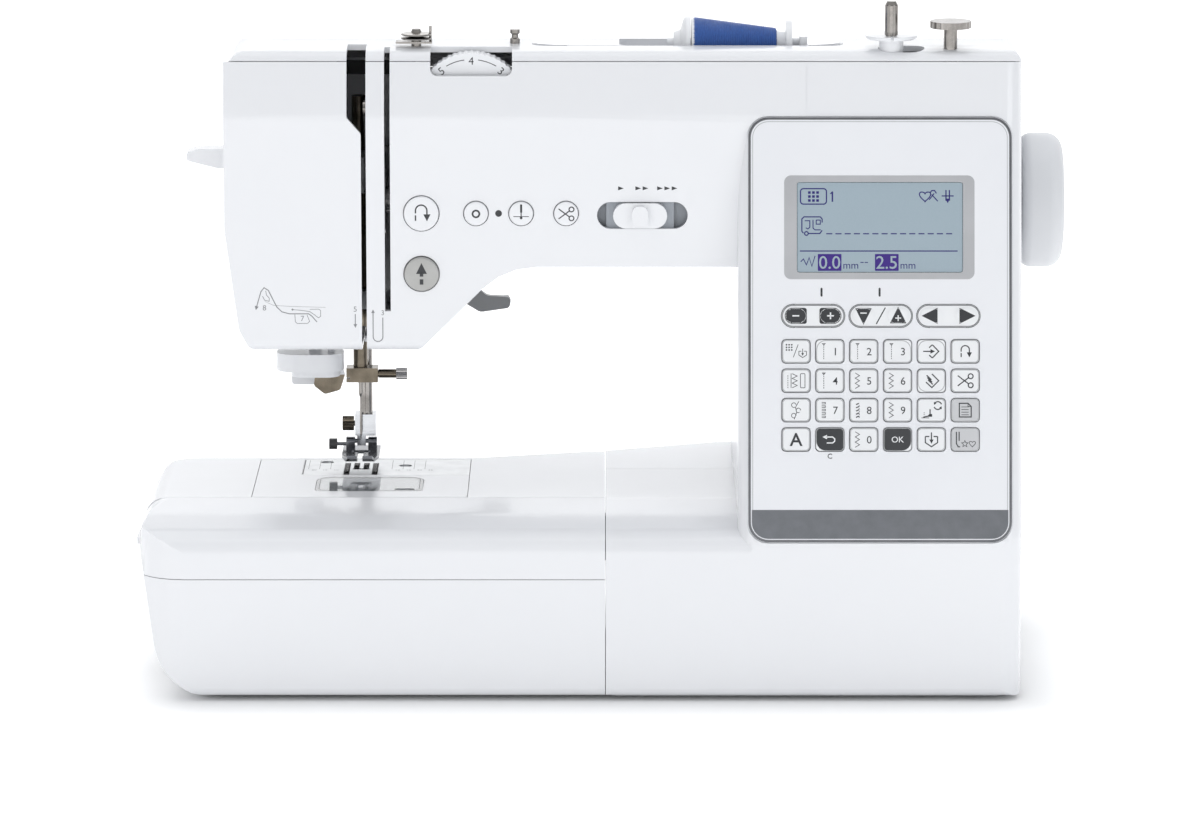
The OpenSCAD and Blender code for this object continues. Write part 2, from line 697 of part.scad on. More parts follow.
// Plastic cover round the metal plate, with the bobbin opening
module bobbin_lid_form(d, z0, z1) {
    plan_form(inset([[hook_x - lid_w / 2, lid_y0, 3], [hook_x + lid_w / 2, lid_y0, 3],
                     [hook_x + lid_w / 2, lid_y1, 8], [hook_x - lid_w / 2, lid_y1, 8]], d), z0, z1);
}
module plate_cover() {
    color("whitesmoke") difference() {
        block([cover_x0, cover_y0, bed_h - cover_t], [cover_x1, cover_y1, bed_h]);
        block([metal_x0 - 0.1, metal_y0 - 0.1, bed_h - plate_t],
              [cover_x1 + 1, cover_y1 + 1, bed_h + 1]);
        block([metal_x0 + 4, metal_y0 + 0.5, bed_h - cover_t - 1],
              [cover_x1 - 12, cover_y1 - 3, bed_h + 1]);
        bobbin_lid_form(-seam, bed_h - 1.2, bed_h + 1);
        bobbin_lid_form(2, bed_h - cover_t - 1, bed_h + 1);
    }
}
feed_rows = [-6.4, -2.2, 2.2, 6.4];
function feed_y0(i) = abs(feed_rows[i]) > 4 ? needle_y - 10 : needle_y + 4;
feed_y1 = needle_y + 10.5;
slot_run = feed_travel + run_gap;
module needle_plate() {
    color("silver") difference() {
        block([metal_x0, metal_y0, bed_h - plate_t], [cover_x1, cover_y1, bed_h]);
        for (i = [0:3])
            block([needle_x + feed_rows[i] - feed_row_w / 2 - run_gap, feed_y0(i) - slot_run,
                   bed_h - 2],
                  [needle_x + feed_rows[i] + feed_row_w / 2 + run_gap, feed_y1 + slot_run,
                   bed_h + 1]);
        // slot for the swing of the needle
        plan_form(rect(8, 2.4, 1.15, needle_x, needle_y), bed_h - 2, bed_h + 1);
        for (p = plate_screws) translate([p.x, p.y, bed_h - 0.6]) cylinder(r = 2.9, h = 1);
    }
}
plate_screws = [[needle_x - 16, cover_y1 - 6], [needle_x + 20, cover_y1 - 14]];
module bobbin_cover() {
    color([0.8, 0.85, 0.88, 0.5]) difference() {
        bobbin_lid_form(0, bed_h - 1.2, bed_h);
        // finger notch beside the latch
        plan_form(rect(9, 3, 1.4, hook_x + lid_w / 2 - 8, lid_y0 + 4), bed_h - 0.7, bed_h + 1);
    }
}
module feed_dogs() {
    color("silver") {
        for (i = [0:3]) {
            x = needle_x + feed_rows[i] - feed_row_w / 2;
            block([x, feed_y0(i), bed_h - 5], [x + feed_row_w, feed_y1, bed_h + 0.2]);
            // saw teeth
            for (y = [feed_y0(i):1.5:feed_y1 - 1.5])
                side_form([[y, bed_h, 0], [y + 1.5, bed_h, 0], [y + 1.2, bed_h + 0.8, 0],
                           [y + 0.9, bed_h + 0.8, 0]], x, x + feed_row_w);
        }
        difference() {
            block([needle_x - 8.4, needle_y - 10.5, bed_h - 6], [needle_x + 8.4, feed_y1, bed_h - 4]);
            block([needle_x - 4.6, needle_y - 5.5, bed_h - 7], [needle_x + 4.6, needle_y + 3.5, bed_h - 3]);
        }
        block([needle_x - 5, feed_y1 - 7, low_z + 8.3], [needle_x + 5, feed_y1, bed_h - 5]);
    }
}

// ---- Hook and bobbin ----
cup_r = bobbin_r + 1;
basket_r = hook_r - 2.6;
module spin_at(x, y, z) {
    translate([x, y, z]) rotate_extrude() children();
}
hook_gear_r = 6;
low_gear_r = low_y - hook_y - hook_gear_r - 0.9;
module hook_race() {
    h = hook_z1 - hook_z0;
    color("silver") {
        difference() {
            spin_at(hook_x, hook_y, hook_z0)
                polygon([[0, 0], [hook_r - 6, 0], [hook_r, 5], [hook_r, h], [hook_r - 2, h],
                         [hook_r - 2, 6], [hook_r - 7, 1.6], [0, 1.6]]);
            // gap in front of the hook's point, and the slots that let the thread pass
            translate([hook_x, hook_y, hook_z0 + h - 4]) rotate([0, 0, 40])
                cube([hook_r + 2, 9, 5]);
            translate([hook_x, hook_y, hook_z0 + h - 7]) rotate([0, 0, 205])
                cube([hook_r + 2, 5, 8]);
        }
        rod_z(low_z - 5, hook_z0 + 1, hook_x, hook_y, low_r);
        gear(14, hook_gear_r, hook_x, hook_y, low_z - 5, 10);
    }
}
// Spur gear about a vertical axis
module gear(n, r, x, y, z, h) {
    translate([x, y, z]) linear_extrude(h) polygon([for (i = [0:n - 1]) each
        [for (k = [[0.02, -0.9], [0.18, 0.25], [0.42, 0.25], [0.58, -0.9]])
            (r + k.y) * [cos(360 * (i + k.x) / n), sin(360 * (i + k.x) / n)]]]);
}
module bobbin_case() {
    z0 = hook_z0 + 1.9;
    color("dimgray") {
        spin_at(hook_x, hook_y, z0)
            polygon([[0, 0], [cup_r + 1.2, 0], [cup_r + 1.2, hook_z1 - z0 - 3.4],
                     [basket_r, hook_z1 - z0 - 3.4], [basket_r, hook_z1 - z0 - 1],
                     [cup_r, hook_z1 - z0 - 1], [cup_r, 1], [0, 1]]);
        // tension spring on the front of the basket
        block([hook_x - 12, hook_y - cup_r - 2.4, z0 + 3], [hook_x + 4, hook_y - cup_r - 1, z0 + 7]);
        // stop that keeps the basket from turning
        block([hook_x + 8, hook_y - basket_r + 4, hook_z1 - 1.2],
              [hook_x + 11, hook_y - basket_r + 9, hook_z1 + 1]);
    }
}
module bobbin() {
    color("gainsboro") spin_at(hook_x, hook_y, hook_z0 + 3.2)
        polygon([[3, 0], [bobbin_r, 0], [bobbin_r, 1], [4.4, 1.4], [4.4, bobbin_h - 1.4],
                 [bobbin_r, bobbin_h - 1], [bobbin_r, bobbin_h], [3, bobbin_h]]);
}

// ---- Flat-bed attachment ----
attach_front = [[left_x + 26, foot_h, 18], [attach_x1, foot_h, 0], [attach_x1, bed_h, 0],
                [left_x + 1.8, bed_h, 10], [left_x + 1.8, front_face_h - 6, 12],
                [left_x + 9.5, foot_h + 12, 24]];
attach_side = [[front_y, foot_h, 4], [arm_y0 - seam, foot_h, 0], [arm_y0 - seam, bed_h, 0],
               [arm_y0 - 22, bed_h - 2.8, 40], [front_y + 8, front_face_h + 5, 10],
               [front_y, front_face_h, 8]];
attach_plan = [[left_x, front_y, 22], [attach_x1, front_y, 0], [attach_x1, arm_y0 - seam, 0],
               [left_x, arm_y0 - seam, 0]];
module attachment(d) {
    intersection() {
        front_form(inset(attach_front, d), front_y - 1, arm_y0);
        side_form(inset(attach_side, d), left_x + d, attach_x1 - d);
        plan_form(inset(attach_plan, d), foot_h - 1, bed_h + 1);
    }
}
bin_wall = 2.2;
module accessory_bin() {
    color("whitesmoke") difference() {
        intersection() {
            attachment(0);
            block([-big, front_y - 1, 0], [big, arm_y0, bin_h]);
        }
        difference() {
            attachment(bin_wall);
            // partition of the bin
            block([needle_x + 30, front_y, 0], [needle_x + 32, arm_y0, bin_h - 8]);
        }
    }
}
module accessory_lid() {
    color("whitesmoke") {
        difference() {
            intersection() {
                attachment(0);
                block([-big, front_y - 1, bin_h + seam], [big, arm_y0, bed_h + 1]);
            }
            intersection() {
                attachment(bin_wall);
                block([-big, front_y, 0], [big, arm_y0, bed_h]);
            }
        }
        // grip lip at the left end
        block([left_x, arm_y0 - 24, front_face_h - 4], [left_x + 4, arm_y0 - 8, front_face_h - 1]);
    }
}

// ---- Drive ----
// Frame: plate behind the shafts, with bearing lugs, needle-bar guides and the bed beam
plate_z0 = foot_h + 3;
beam_y0 = needle_y + 13.4;
beam_z0 = under_z + wall + 2;
upper_bearings = [needle_x + 22, column_x0 - 35.3, column_x1 - 30];
low_bearings = [needle_x + 20, attach_x1 + (column_x0 - attach_x1) * 0.65];
bearing_w = 8;
guide_x0 = needle_x - 17.5;
guide_x1 = needle_x + 5.9;
guide_z = [arm_z0 - 30, arm_z0 + 26];
guide_h = 8;
threader_shaft = [needle_x - 13, needle_y - 6];
threader_r = 1.5;
take_up_y = needle_y - 24.6;
take_up_z = arm_z0 + 38;
take_up_x0 = needle_x + 3.9;
take_up_t = 1.4;
frame_outline = [[column_x0 + 5, plate_z0, 0], [column_x1 - 24, plate_z0, 0],
                 [column_x1 - 24, arm_z0 + 38, 10], [guide_x0, arm_z0 + 38, 8],
                 [guide_x0, guide_z[0], 0], [needle_x + 13, guide_z[0], 6],
                 [needle_x + 13, arm_z0 + 8, 16], [column_x0 + 5, arm_z0 + 8, 8]];
module main_frame() {
    color("silver") difference() {
        union() {
            front_form(frame_outline, plate_y0, plate_y1);
            for (x = upper_bearings)
                block([x, needle_y - 9, shaft_h - 9], [x + bearing_w, plate_y0 + 1, shaft_h + 9]);
            for (z = guide_z)
                block([guide_x0, threader_shaft.y - 4, z], [guide_x1, plate_y0 + 1, z + guide_h]);
            // bed beam, tied to the plate
            block([left_x + 50, beam_y0, beam_z0], [column_x0 + 20, beam_y0 + 7, low_z + 8]);
            block([column_x0 + 5, beam_y0, beam_z0], [column_x0 + 20, plate_y0 + 1, low_z + 8]);
            for (x = low_bearings)
                block([x, low_y - 7, low_z - 8], [x + bearing_w, beam_y0 + 1, low_z + 8]);
            // bearing of the hook, and the guide under the feed dogs
            block([hook_x - 9, hook_y - 9, low_z + 6.2], [hook_x + 9, hook_y + 9, hook_z0 - 0.6]);
            block([hook_x + 2, hook_y + 5, low_z + 6.2], [hook_x + 9, beam_y0 + 1, hook_z0 - 0.6]);
            block([needle_x - 4.5, needle_y + 2, low_z], [needle_x + 4.5, beam_y0 + 1, low_z + 8]);
            // lug and pin of the take-up lever
            block([take_up_x0 - 5.6, take_up_y - 4, guide_z[1]],
                  [take_up_x0 - 0.6, threader_shaft.y, take_up_z + 4]);
            rod_x(take_up_x0 - 1, take_up_x0 + take_up_t + 0.3, take_up_y, take_up_z, 2);
            // arm that holds the tension dial
            block([dial_x - 4, dial_y0 + dial_t + 6, arm_z0 + 30],
                  [dial_x + 4, plate_y0 + 1, arm_z0 + 38]);
            block([dial_x - 6, dial_y0 + dial_t + 6, arm_z0 + 30],
                  [dial_x + 6, dial_y0 + dial_t + 12, dial_z + 6]);
        }
        for (x = upper_bearings)
            rod_x(x - 1, x + bearing_w + 1, needle_y, shaft_h, shaft_r + shaft_gap);
        for (x = low_bearings)
            rod_x(x - 1, x + bearing_w + 1, low_y, low_z, low_r + shaft_gap);
        rod_z(low_z, hook_z0, hook_x, hook_y, low_r + shaft_gap);
        for (z = guide_z) {
            rod_z(z - 1, z + guide_h + 1, needle_x, needle_y, needle_bar_r + shaft_gap);
            rod_z(z - 1, z + guide_h + 1, presser_x, presser_y, presser_bar_r + shaft_gap);
            rod_z(z - 1, z + guide_h + 1, threader_shaft.x, threader_shaft.y,
                  threader_r + shaft_gap);
        }
        rod_y(dial_y0 + dial_t, dial_y0 + dial_t + 13, dial_x, dial_z, 3 + shaft_gap);
        // lightening windows
        front_form([[column_x0 + 14, low_z + 30, 6], [column_x0 + 32, low_z + 30, 6],
                    [column_x0 + 32, arm_z0 - 8, 6], [column_x0 + 14, arm_z0 - 8, 6]],
                   plate_y0 - 1, plate_y1 + 1);
        front_form([[motor_x + 22, low_z + 30, 6], [column_x1 - 34, low_z + 30, 6],
                    [column_x1 - 34, arm_z0 - 8, 6], [motor_x + 22, arm_z0 - 8, 6]],
                   plate_y0 - 1, plate_y1 + 1);
    }
}
disc_x0 = guide_x1 + 0.3;
disc_t = 6;
disc_r = 16;
module upper_shaft() {
    color("silver") difference() {
        union() {
            rod_x(disc_x0, wheel_x1 - 7, needle_y, shaft_h, shaft_r);
            // crank disc with its counterweight and crank pin
            rod_x(disc_x0, disc_x0 + disc_t, needle_y, shaft_h, disc_r);
            pulley(timing_x, timing_w, needle_y, shaft_h, timing_r, 22);
            translate([motor_x, needle_y, shaft_h]) rotate([0, 90, 0]) rotate_extrude()
                polygon([[shaft_r - 1, 0], [10, 0], [10, 3], [big_pulley_r - 5, 3],
                         [big_pulley_r - 5, 0], [big_pulley_r, 0], [big_pulley_r, motor_w],
                         [big_pulley_r - 5, motor_w], [big_pulley_r - 5, 6], [10, 6],
                         [10, motor_w], [shaft_r - 1, motor_w]]);
        }
        // relief that makes the disc heavy on one side
        for (a = [-35, 35])
            translate([disc_x0 - 1, needle_y, shaft_h]) rotate([a, 0, 0]) translate([0, 0, 11])
                rotate([0, 90, 0]) cylinder(r = 3, h = disc_t + 2);
    }
}
// Toothed pulley about an X axis
module pulley(x, w, y, z, r, teeth) {
    translate([x, y, z]) rotate([90, 0, 90]) linear_extrude(w)
        polygon([for (i = [0:teeth - 1]) each
            [for (k = [[0, 0], [0.5, 0], [0.6, -0.8], [0.9, -0.8]])
                (r + k.y) * [cos(360 * (i + k.x) / teeth), sin(360 * (i + k.x) / teeth)]]]);
}
// Outline round two circles, as [y, z] points: centre and radius of each
function belt_path(a, ra, b, rb) =
    let (d = norm(b - a), along = heading(b - a), open = acos((ra - rb) / d))
    [for (i = [0:16]) let (t = along + open + (360 - 2 * open) * i / 16) a + ra * [cos(t), sin(t)],
     for (i = [0:16]) let (t = along - open + 2 * open * i / 16) b + rb * [cos(t), sin(t)]];
module belt(x, w, a, ra, b, rb, t) {
    translate([x, 0, 0]) rotate([90, 0, 90]) linear_extrude(w) difference() {
        polygon(belt_path(a, ra + 0.3 + t, b, rb + 0.3 + t));
        polygon(belt_path(a, ra + 0.3, b, rb + 0.3));
    }
}
module timing_belt() {
    color("dimgray") belt(timing_x + 1, timing_w - 2, [needle_y, shaft_h], timing_r,
                          [low_y, low_z], timing_r, 1.4);
}
module motor_belt() {
    color("dimgray") belt(motor_x + 1.3, motor_w - 2.6, [needle_y, shaft_h], big_pulley_r,
                          [motor_y, motor_z], small_pulley_r, 1.4);
}
module lower_shaft() {
    color("silver") {
        rod_x(hook_x - 9, timing_x + timing_w + 1, low_y, low_z, low_r);
        pulley(timing_x, timing_w, low_y, low_z, timing_r, 22);
        translate([hook_x - 5, low_y, low_z]) rotate([90, 0, 90]) linear_extrude(10)
            polygon([for (i = [0:11]) each [for (k = [[0.05, -0.8], [0.2, 0.2], [0.45, 0.2], [0.6, -0.8]])
                (low_gear_r + k.y) * [cos(30 * (i + k.x)), sin(30 * (i + k.x))]]]);
    }
}
motor_x0 = motor_x + motor_w + 4;
motor_l = 52;
rotor_r = 3;
module motor() {
    color("silver") difference() {
        union() {
            translate([motor_x0, motor_y, motor_z]) rotate([0, 90, 0]) rotate_extrude()
                polygon([[0, 0], [motor_r, 0], [motor_r, motor_l - 2], [motor_r - 2, motor_l],
                         [9, motor_l], [9, motor_l + 5], [0, motor_l + 5]]);
            block([motor_x0, motor_y - 26, motor_z - 26], [motor_x0 + 2.4, plate_y0, motor_z + 26]);
        }
        rod_x(motor_x0 - 1, motor_x0 + 14, motor_y, motor_z, rotor_r + shaft_gap);
        for (y = [-20, 20], z = [-20, 20])
            rod_x(motor_x0 - 1, motor_x0 + 3, motor_y + y, motor_z + z, 2.2);
    }
}
module motor_pulley() {
    color("gainsboro") {
        pulley(motor_x, motor_w, motor_y, motor_z, small_pulley_r, 16);
        rod_x(motor_x, motor_x0 + 13, motor_y, motor_z, rotor_r);
    }
}
module handwheel() {
    w = wheel_out;
    color("whitesmoke") translate([column_x1, needle_y, shaft_h]) rotate([0, 90, 0])
        rotate_extrude($fn = 72) polygon(rounded([
            [shaft_r + shaft_gap, 0.5, 0], [15, 0.5, 0], [15, 3.4, 0], [wheel_r, 3.4, 5],
            [wheel_r, w, 7], [wheel_r - 10, w, 8], [wheel_r - 14, w - 2.4, 8], [0, w - 2.4, 0],
            [0, w - 6, 0], [shaft_r + shaft_gap, w - 6, 0]]));
}

// ---- Needle, presser foot and take-up ----
module needle_bar() {
    color("tan") difference() {
        union() {
            rod_z(clamp_z, guide_z[1] + guide_h + stroke + 2, needle_x, needle_y, needle_bar_r);
            block([needle_x - 6.3, needle_y - 4.8, clamp_z],
                  [needle_x + 8, needle_y + 4.2, clamp_z + clamp_h]);
        }
        rod_z(clamp_z - 1, clamp_z + 9, needle_x, needle_y, needle_r + shaft_gap);
        rod_x(needle_x + 4.4, needle_x + 9, needle_y, clamp_z + clamp_h / 2, 1.6 + shaft_gap);
        // groove of the thread guide
        block([needle_x - 7, needle_y - 6, clamp_z + 1.6], [needle_x - 4.6, needle_y + 5, clamp_z + 2.4]);
    }
}
module clamp_screw() {
    z = clamp_z + clamp_h / 2;
    color("silver") {
        rod_x(needle_x + 4.8, needle_x + 8.5, needle_y, z, 1.6);
        rod_x(needle_x + 8.3, needle_x + 16.4, needle_y, z, 2);
        translate([needle_x + 16.2, needle_y, z]) rotate([90, 0, 90]) linear_extrude(5)
            polygon([for (i = [0:35]) (i % 2 == 0 ? 2.6 : 2.3) * [cos(10 * i), sin(10 * i)]]);
    }
}
needle_tip = bed_h + 13.4;
module needle() {
    color("silver") translate([needle_x, needle_y, needle_tip]) rotate_extrude()
        polygon([[0, 0], [0.45, 3], [0.45, 20], [needle_r, 22], [needle_r, clamp_z + 8.6 - needle_tip],
                 [0, clamp_z + 8.6 - needle_tip]]);
}
holder_z = foot_z + 7.8;
holder_h = 9.8;
module presser_bar() {
    color("silver") rod_z(holder_z + 0.4, guide_z[1] + guide_h + foot_lift + 8,
                          presser_x, presser_y, presser_bar_r);
}
module foot_holder() {
    color("white") difference() {
        union() {
            block([needle_x - 2.9, presser_y - 4.8, holder_z],
                  [needle_x + 6.6, presser_y + 4.4, holder_z + holder_h]);
            block([needle_x - 2, pin_y - 2.2, foot_z + 3.2], [needle_x + 2, pin_y + 3, holder_z + 1]);
        }
        rod_z(holder_z + 0.3, holder_z + holder_h + 1, presser_x, presser_y,
              presser_bar_r + shaft_gap);
        rod_x(needle_x - 3, needle_x + 3, pin_y, pin_z, 1 + shaft_gap);
        rod_x(needle_x - 4, needle_x - 0.9, presser_y, holder_z + holder_h / 2, 1.25 + shaft_gap);
    }
}
module foot_screw() {
    z = holder_z + holder_h / 2;
    color("silver") {
        rod_x(needle_x - 3.8, needle_x - 1, presser_y, z, 1.25);
        translate([needle_x - 8.7, presser_y, z]) rotate([90, 0, 90]) linear_extrude(5.2)
            polygon([for (i = [0:35]) (i % 2 == 0 ? 3.3 : 3) * [cos(10 * i), sin(10 * i)]]);
    }
}
module presser_foot() {
    y0 = pin_y - 27.2;
    y1 = y0 + sole_l;
    color("silver") {
        difference() {
            side_form([[y0 + 4, foot_z, 0], [y1 - 1.5, foot_z, 0], [y1, foot_z + 1.6, 0],
                       [y0 + 4, foot_z + 1.6, 0], [y0, foot_z + 3.4, 0], [y0, foot_z + 2, 0]],
                      needle_x - sole_w / 2, needle_x + sole_w / 2);
            // slot between the toes, and the window for the needle
            block([needle_x - 1.2, y0 - 1, foot_z - 1], [needle_x + 1.2, needle_y, foot_z + 5]);
            plan_form(rect(9.6, 5, 2, needle_x, needle_y), foot_z - 1, foot_z + 5);
            for (s = [-1, 1]) plan_form([[needle_x + s * 5.4, y0 - 1, 0], [needle_x + s * 8.6, y0 - 1, 0],
                [needle_x + s * 8.6, y0 + 13, 0]], foot_z - 1, foot_z + 5);
        }
        for (s = [-1, 1])
            side_form([[pin_y - 2.4, foot_z + 1, 0], [pin_y + 4, foot_z + 1, 0],
                       [pin_y + 2.4, foot_z + 6.8, 2], [pin_y - 2.4, foot_z + 6.8, 2]],
                      needle_x + s * 5 - 2, needle_x + s * 5 + 2);
        rod_x(needle_x - 4, needle_x + 4, pin_y, pin_z, 1);
        // lever with its round button
        rod_x(needle_x - 11.4, needle_x - 6.8, pin_y, foot_z + 3.6, 0.8);
        rod_x(needle_x - 14.8, needle_x - 11.2, pin_y, foot_z + 3.6, 2.5);
    }
}
lever_x = head_x1 - 2.2;
lever_z = head_z0 + 21.5;
lever_t = 4;
module presser_lever() {
    y0 = head_y1 + run_gap;
    color("darkgray") {
        front_form([[lever_x - 6, lever_z - 5, 5], [lever_x + 27, lever_z - 25, 4],
                    [lever_x + 40.6, lever_z - 23, 2], [lever_x + 41.4, lever_z - 18, 2],
                    [lever_x + 30, lever_z - 17.4, 5], [lever_x + 5, lever_z + 6, 5]],
                   y0, y0 + lever_t);
        front_form([[lever_x + 27, lever_z - 24.4, 1.5], [lever_x + 40, lever_z - 22.6, 1.5],
                    [lever_x + 40.6, lever_z - 19.6, 1], [lever_x + 28, lever_z - 20.8, 1]],
                   y0 + 1, y0 + 16);
        rod_y(head_y1 - wall - 5, y0 + 1, lever_x, lever_z, 2.5);
    }
}
take_up_len = 40;
take_up_angle = 48;
module take_up_lever() {
    tip = [take_up_y - take_up_len * cos(take_up_angle), take_up_z + take_up_len * sin(take_up_angle)];
    side = 2.6 * [sin(take_up_angle), cos(take_up_angle)];
    hub = [take_up_y, take_up_z];
    color("silver") difference() {
        union() {
            side_form([for (p = [hub - side, hub + side, tip + side * 0.7, tip - side * 0.7])
                       [p.x, p.y, 0]], take_up_x0, take_up_x0 + take_up_t);
            rod_x(take_up_x0, take_up_x0 + take_up_t, hub.x, hub.y, 4.6);
            rod_x(take_up_x0, take_up_x0 + take_up_t, tip.x, tip.y, 3.4);
        }
        rod_x(take_up_x0 - 1, take_up_x0 + take_up_t + 1, hub.x, hub.y, 2 + shaft_gap);
        rod_x(take_up_x0 - 1, take_up_x0 + take_up_t + 1, tip.x, tip.y, 1.4);
    }
}
module threader_lever() {
    z = threader_z;
    y = threader_y;
    color("whitesmoke") {
        front_form([[head_x0 - 19.4, z - 1, 1.4], [head_x0 - 6, z - 4.4, 3], [head_x0 - 0.8, z - 4.4, 0],
                    [head_x0 - 0.8, z + 4.2, 0], [head_x0 - 14, z + 4.2, 2], [head_x0 - 19.4, z + 2.6, 1.4]],
                   y - 6, y + 6);
        block([head_x0 - 1, y - 3 + seam, z - 3.5], [head_x0 + 9, y + 3 - seam, z + 3.5]);
        block([head_x0 + 6.8, y - 6, z - 6], [head_x0 + 9.4, y + 6, z + 6]);
    }
}
threader_top = guide_z[1] + guide_h + threader_travel / 2 + 4;
module needle_threader() {
    s = threader_shaft;
    color("white") {
        rod_z(head_z0 - 16, threader_top, s.x, s.y, threader_r);
        plan_form(rect(30.4, 20, 9, needle_x - 22.4, s.y - 1.4), head_z0 - 20, head_z0 - 12);
        plan_form(rect(22, 13, 6, needle_x - 20, s.y - 1.4), head_z0 - 23, head_z0 - 19.9);
        front_form([[needle_x - 21, head_z0 - 28, 2], [needle_x - 16, head_z0 - 32, 2],
                    [needle_x - 9, head_z0 - 30, 2], [needle_x - 6.8, head_z0 - 23, 2],
                    [needle_x - 8, head_z0 - 19, 0], [needle_x - 20, head_z0 - 19, 0]],
                   s.y - 0.6, s.y + 0.6);
    }
}
button_lever_x1 = guide_x0 - seam;
module buttonhole_lever() {
    color("white") {
        block([button_lever_x1 - 5.6, presser_y - 6.6, head_z0 - 24],
              [button_lever_x1, presser_y - 0.6, guide_z[1]]);
        front_form([[button_lever_x1 - 13.6, head_z0 - 29.4, 1.5],
                    [button_lever_x1, head_z0 - 29.4, 1.5], [button_lever_x1, head_z0 - 23, 1],
                    [button_lever_x1 - 13.6, head_z0 - 23, 1]], presser_y - 6.6, presser_y + 0.6);
    }
}

// ---- Controls on the arm ----
// Push button with a crowned cap and a flange behind the cover
module push_button(x, z, r) {
    translate([x, head_y0, z]) rotate([-90, 0, 0]) rotate_extrude()
        polygon(rounded([[0, -button_travel - 0.2, 0], [r, 0.1 - button_travel, 0.7],
                         [r, wall + 0.3, 0], [r + 1.6, wall + 0.3, 0],
                         [r + 1.6, wall + 1.8, 0], [0, wall + 1.8, 0]]));
}
module reverse_button() { color("white") push_button(big_x, button_z, big_button_r); }
module start_stop_button() { color("silver") push_button(big_x, start_z, big_button_r); }
module reinforce_button() { color("white") push_button(small_x[0], button_z, small_button_r); }
module needle_button() { color("white") push_button(small_x[1], button_z, small_button_r); }
module cutter_button() { color("white") push_button(small_x[2], button_z, small_button_r); }
knob_x = speed_x - 1;
module speed_slider() {
    color("whitesmoke") {
        stadium(knob_x, speed_z, knob_w, speed_h - 2 * run_gap, head_y0 - 1.6, head_y0 + wall + 1);
        front_form(rect(7, speed_h - 3, 3, knob_x, speed_z), head_y0 - 4, head_y0 - 1);
        front_form(rect(knob_w + 6, speed_h + 5, 3, knob_x, speed_z),
                   head_y0 + wall + 0.3, head_y0 + wall + 1.8);
    }
}
module tension_dial() {
    color("white") {
        translate([dial_x, dial_y0, dial_z]) rotate([-90, 0, 0]) linear_extrude(dial_t)
            polygon([for (i = [0:119]) (dial_r - (i % 2) * 0.5) * [cos(3 * i), sin(3 * i)]]);
        rod_y(dial_y0 + dial_t - 1, dial_y0 + dial_t + 12, dial_x, dial_z, 3);
    }
}

// ---- Control panel ----
function key_at(c, r) = [key_col_x + key_pitch_x * c, key_row_s + key_pitch_z * r];
module panel_plate() {
    color("whitesmoke") on_panel() difference() {
        union() {
            front_form(panel_outline(0), -panel_proud, panel_seat - 0.1);
            for (x = [-46, 46], s = [14, panel_h - 14])
                rod_y(panel_seat - 0.2, 5, panel_x + x, s, 2.5);
        }
        for (c = [0:5], r = [0:3])
            front_form(rect(key_w + 0.8, key_h + 0.8, 2, key_at(c, r).x, key_at(c, r).y), -5, 3);
        for (i = [0:2])
            stadium(rocker_x + rocker_pitch * i, rocker_s, rocker_w + 2 * seam, rocker_h + 2 * seam, -5, 3);
        front_form(rect(lcd_w + 0.4, lcd_h + 0.4, 1.2, lcd_x, lcd_s0 + lcd_h / 2), -5, 3);
    }
}
module keypad() {
    color("white") on_panel() {
        front_form(rect(5 * key_pitch_x + key_w + 5, 3 * key_pitch_z + key_h + 4, 3,
                        key_at(2.5, 0).x, key_row_s + 1.5 * key_pitch_z),
                   panel_seat + 0.2, panel_seat + 1.6);
        for (c = [0:5], r = [0:3])
            front_form(rect(key_w, key_h, 1.8, key_at(c, r).x, key_at(c, r).y),
                       -panel_proud - 0.8, panel_seat + 0.5);
    }
}
module rocker(i) {
    x = rocker_x + rocker_pitch * i;
    on_panel() {
        stadium(x, rocker_s, rocker_w, rocker_h, -panel_proud - 0.5, panel_seat - 0.1);
        for (d = [-7.6, 7.6]) stadium(x + d, rocker_s, 9, 6.4, -panel_proud - 1.1, -panel_proud);
        front_form(rect(rocker_w - 12, rocker_h + 3, 1, x, rocker_s), panel_seat + 0.3, panel_seat + 1.7);
        stadium(x, rocker_s, rocker_w - 12, rocker_h, panel_seat - 0.2, panel_seat + 0.4);
    }
}
module width_rocker() { color("white") rocker(0); }
module length_rocker() { color("white") rocker(1); }
module select_rocker() { color("white") rocker(2); }
module control_board() {
    color("seagreen") on_panel() {
        front_form(rect(104, panel_h - 16, 2, panel_x, panel_s0 + panel_h / 2), 5, 6.6);
        // display module, with its glass in the window of the panel
        front_form(rect(lcd_w + 8, lcd_h + 10, 1, lcd_x, lcd_s0 + lcd_h / 2), panel_seat + 0.2, 5.1);
        front_form(rect(lcd_w, lcd_h, 1, lcd_x, lcd_s0 + lcd_h / 2), -0.2, panel_seat + 0.4);
        // components
        for (p = [[-30, 60], [6, 44], [28, 84], [-12, 20]])
            front_form(rect(14, 14, 0, panel_x + p.x, p.y), 6.5, 9.4);
        front_form(rect(40, 8, 0, panel_x, 12), 6.5, 13);
    }
}
module power_inlet() {
    color("dimgray") difference() {
        union() {
            inlet_body();
            block([column_x1 - wall - 2, inlet_y0 - 3, inlet_z0 - 3],
                  [column_x1 - wall - 0.2, inlet_y1 + 3, inlet_z1 + 3]);
        }
        switch_hole(0.1);
        // mains socket and pedal jack
        block([column_x1 - 14, inlet_y0 + 24, inlet_z0 + 8], [column_x1 + 1, inlet_y0 + 41, inlet_z0 + 18]);
        rod_x(column_x1 - 14, column_x1 + 1, inlet_y0 + 32.5, inlet_z0 + 26, 3.2);
    }
}
module inlet_body() {
    block([column_x1 - 16, inlet_y0, inlet_z0], [column_x1 - 0.4, inlet_y1, inlet_z1]);
}
switch_y = inlet_y0 + 11;
switch_z = inlet_z0 + 17;
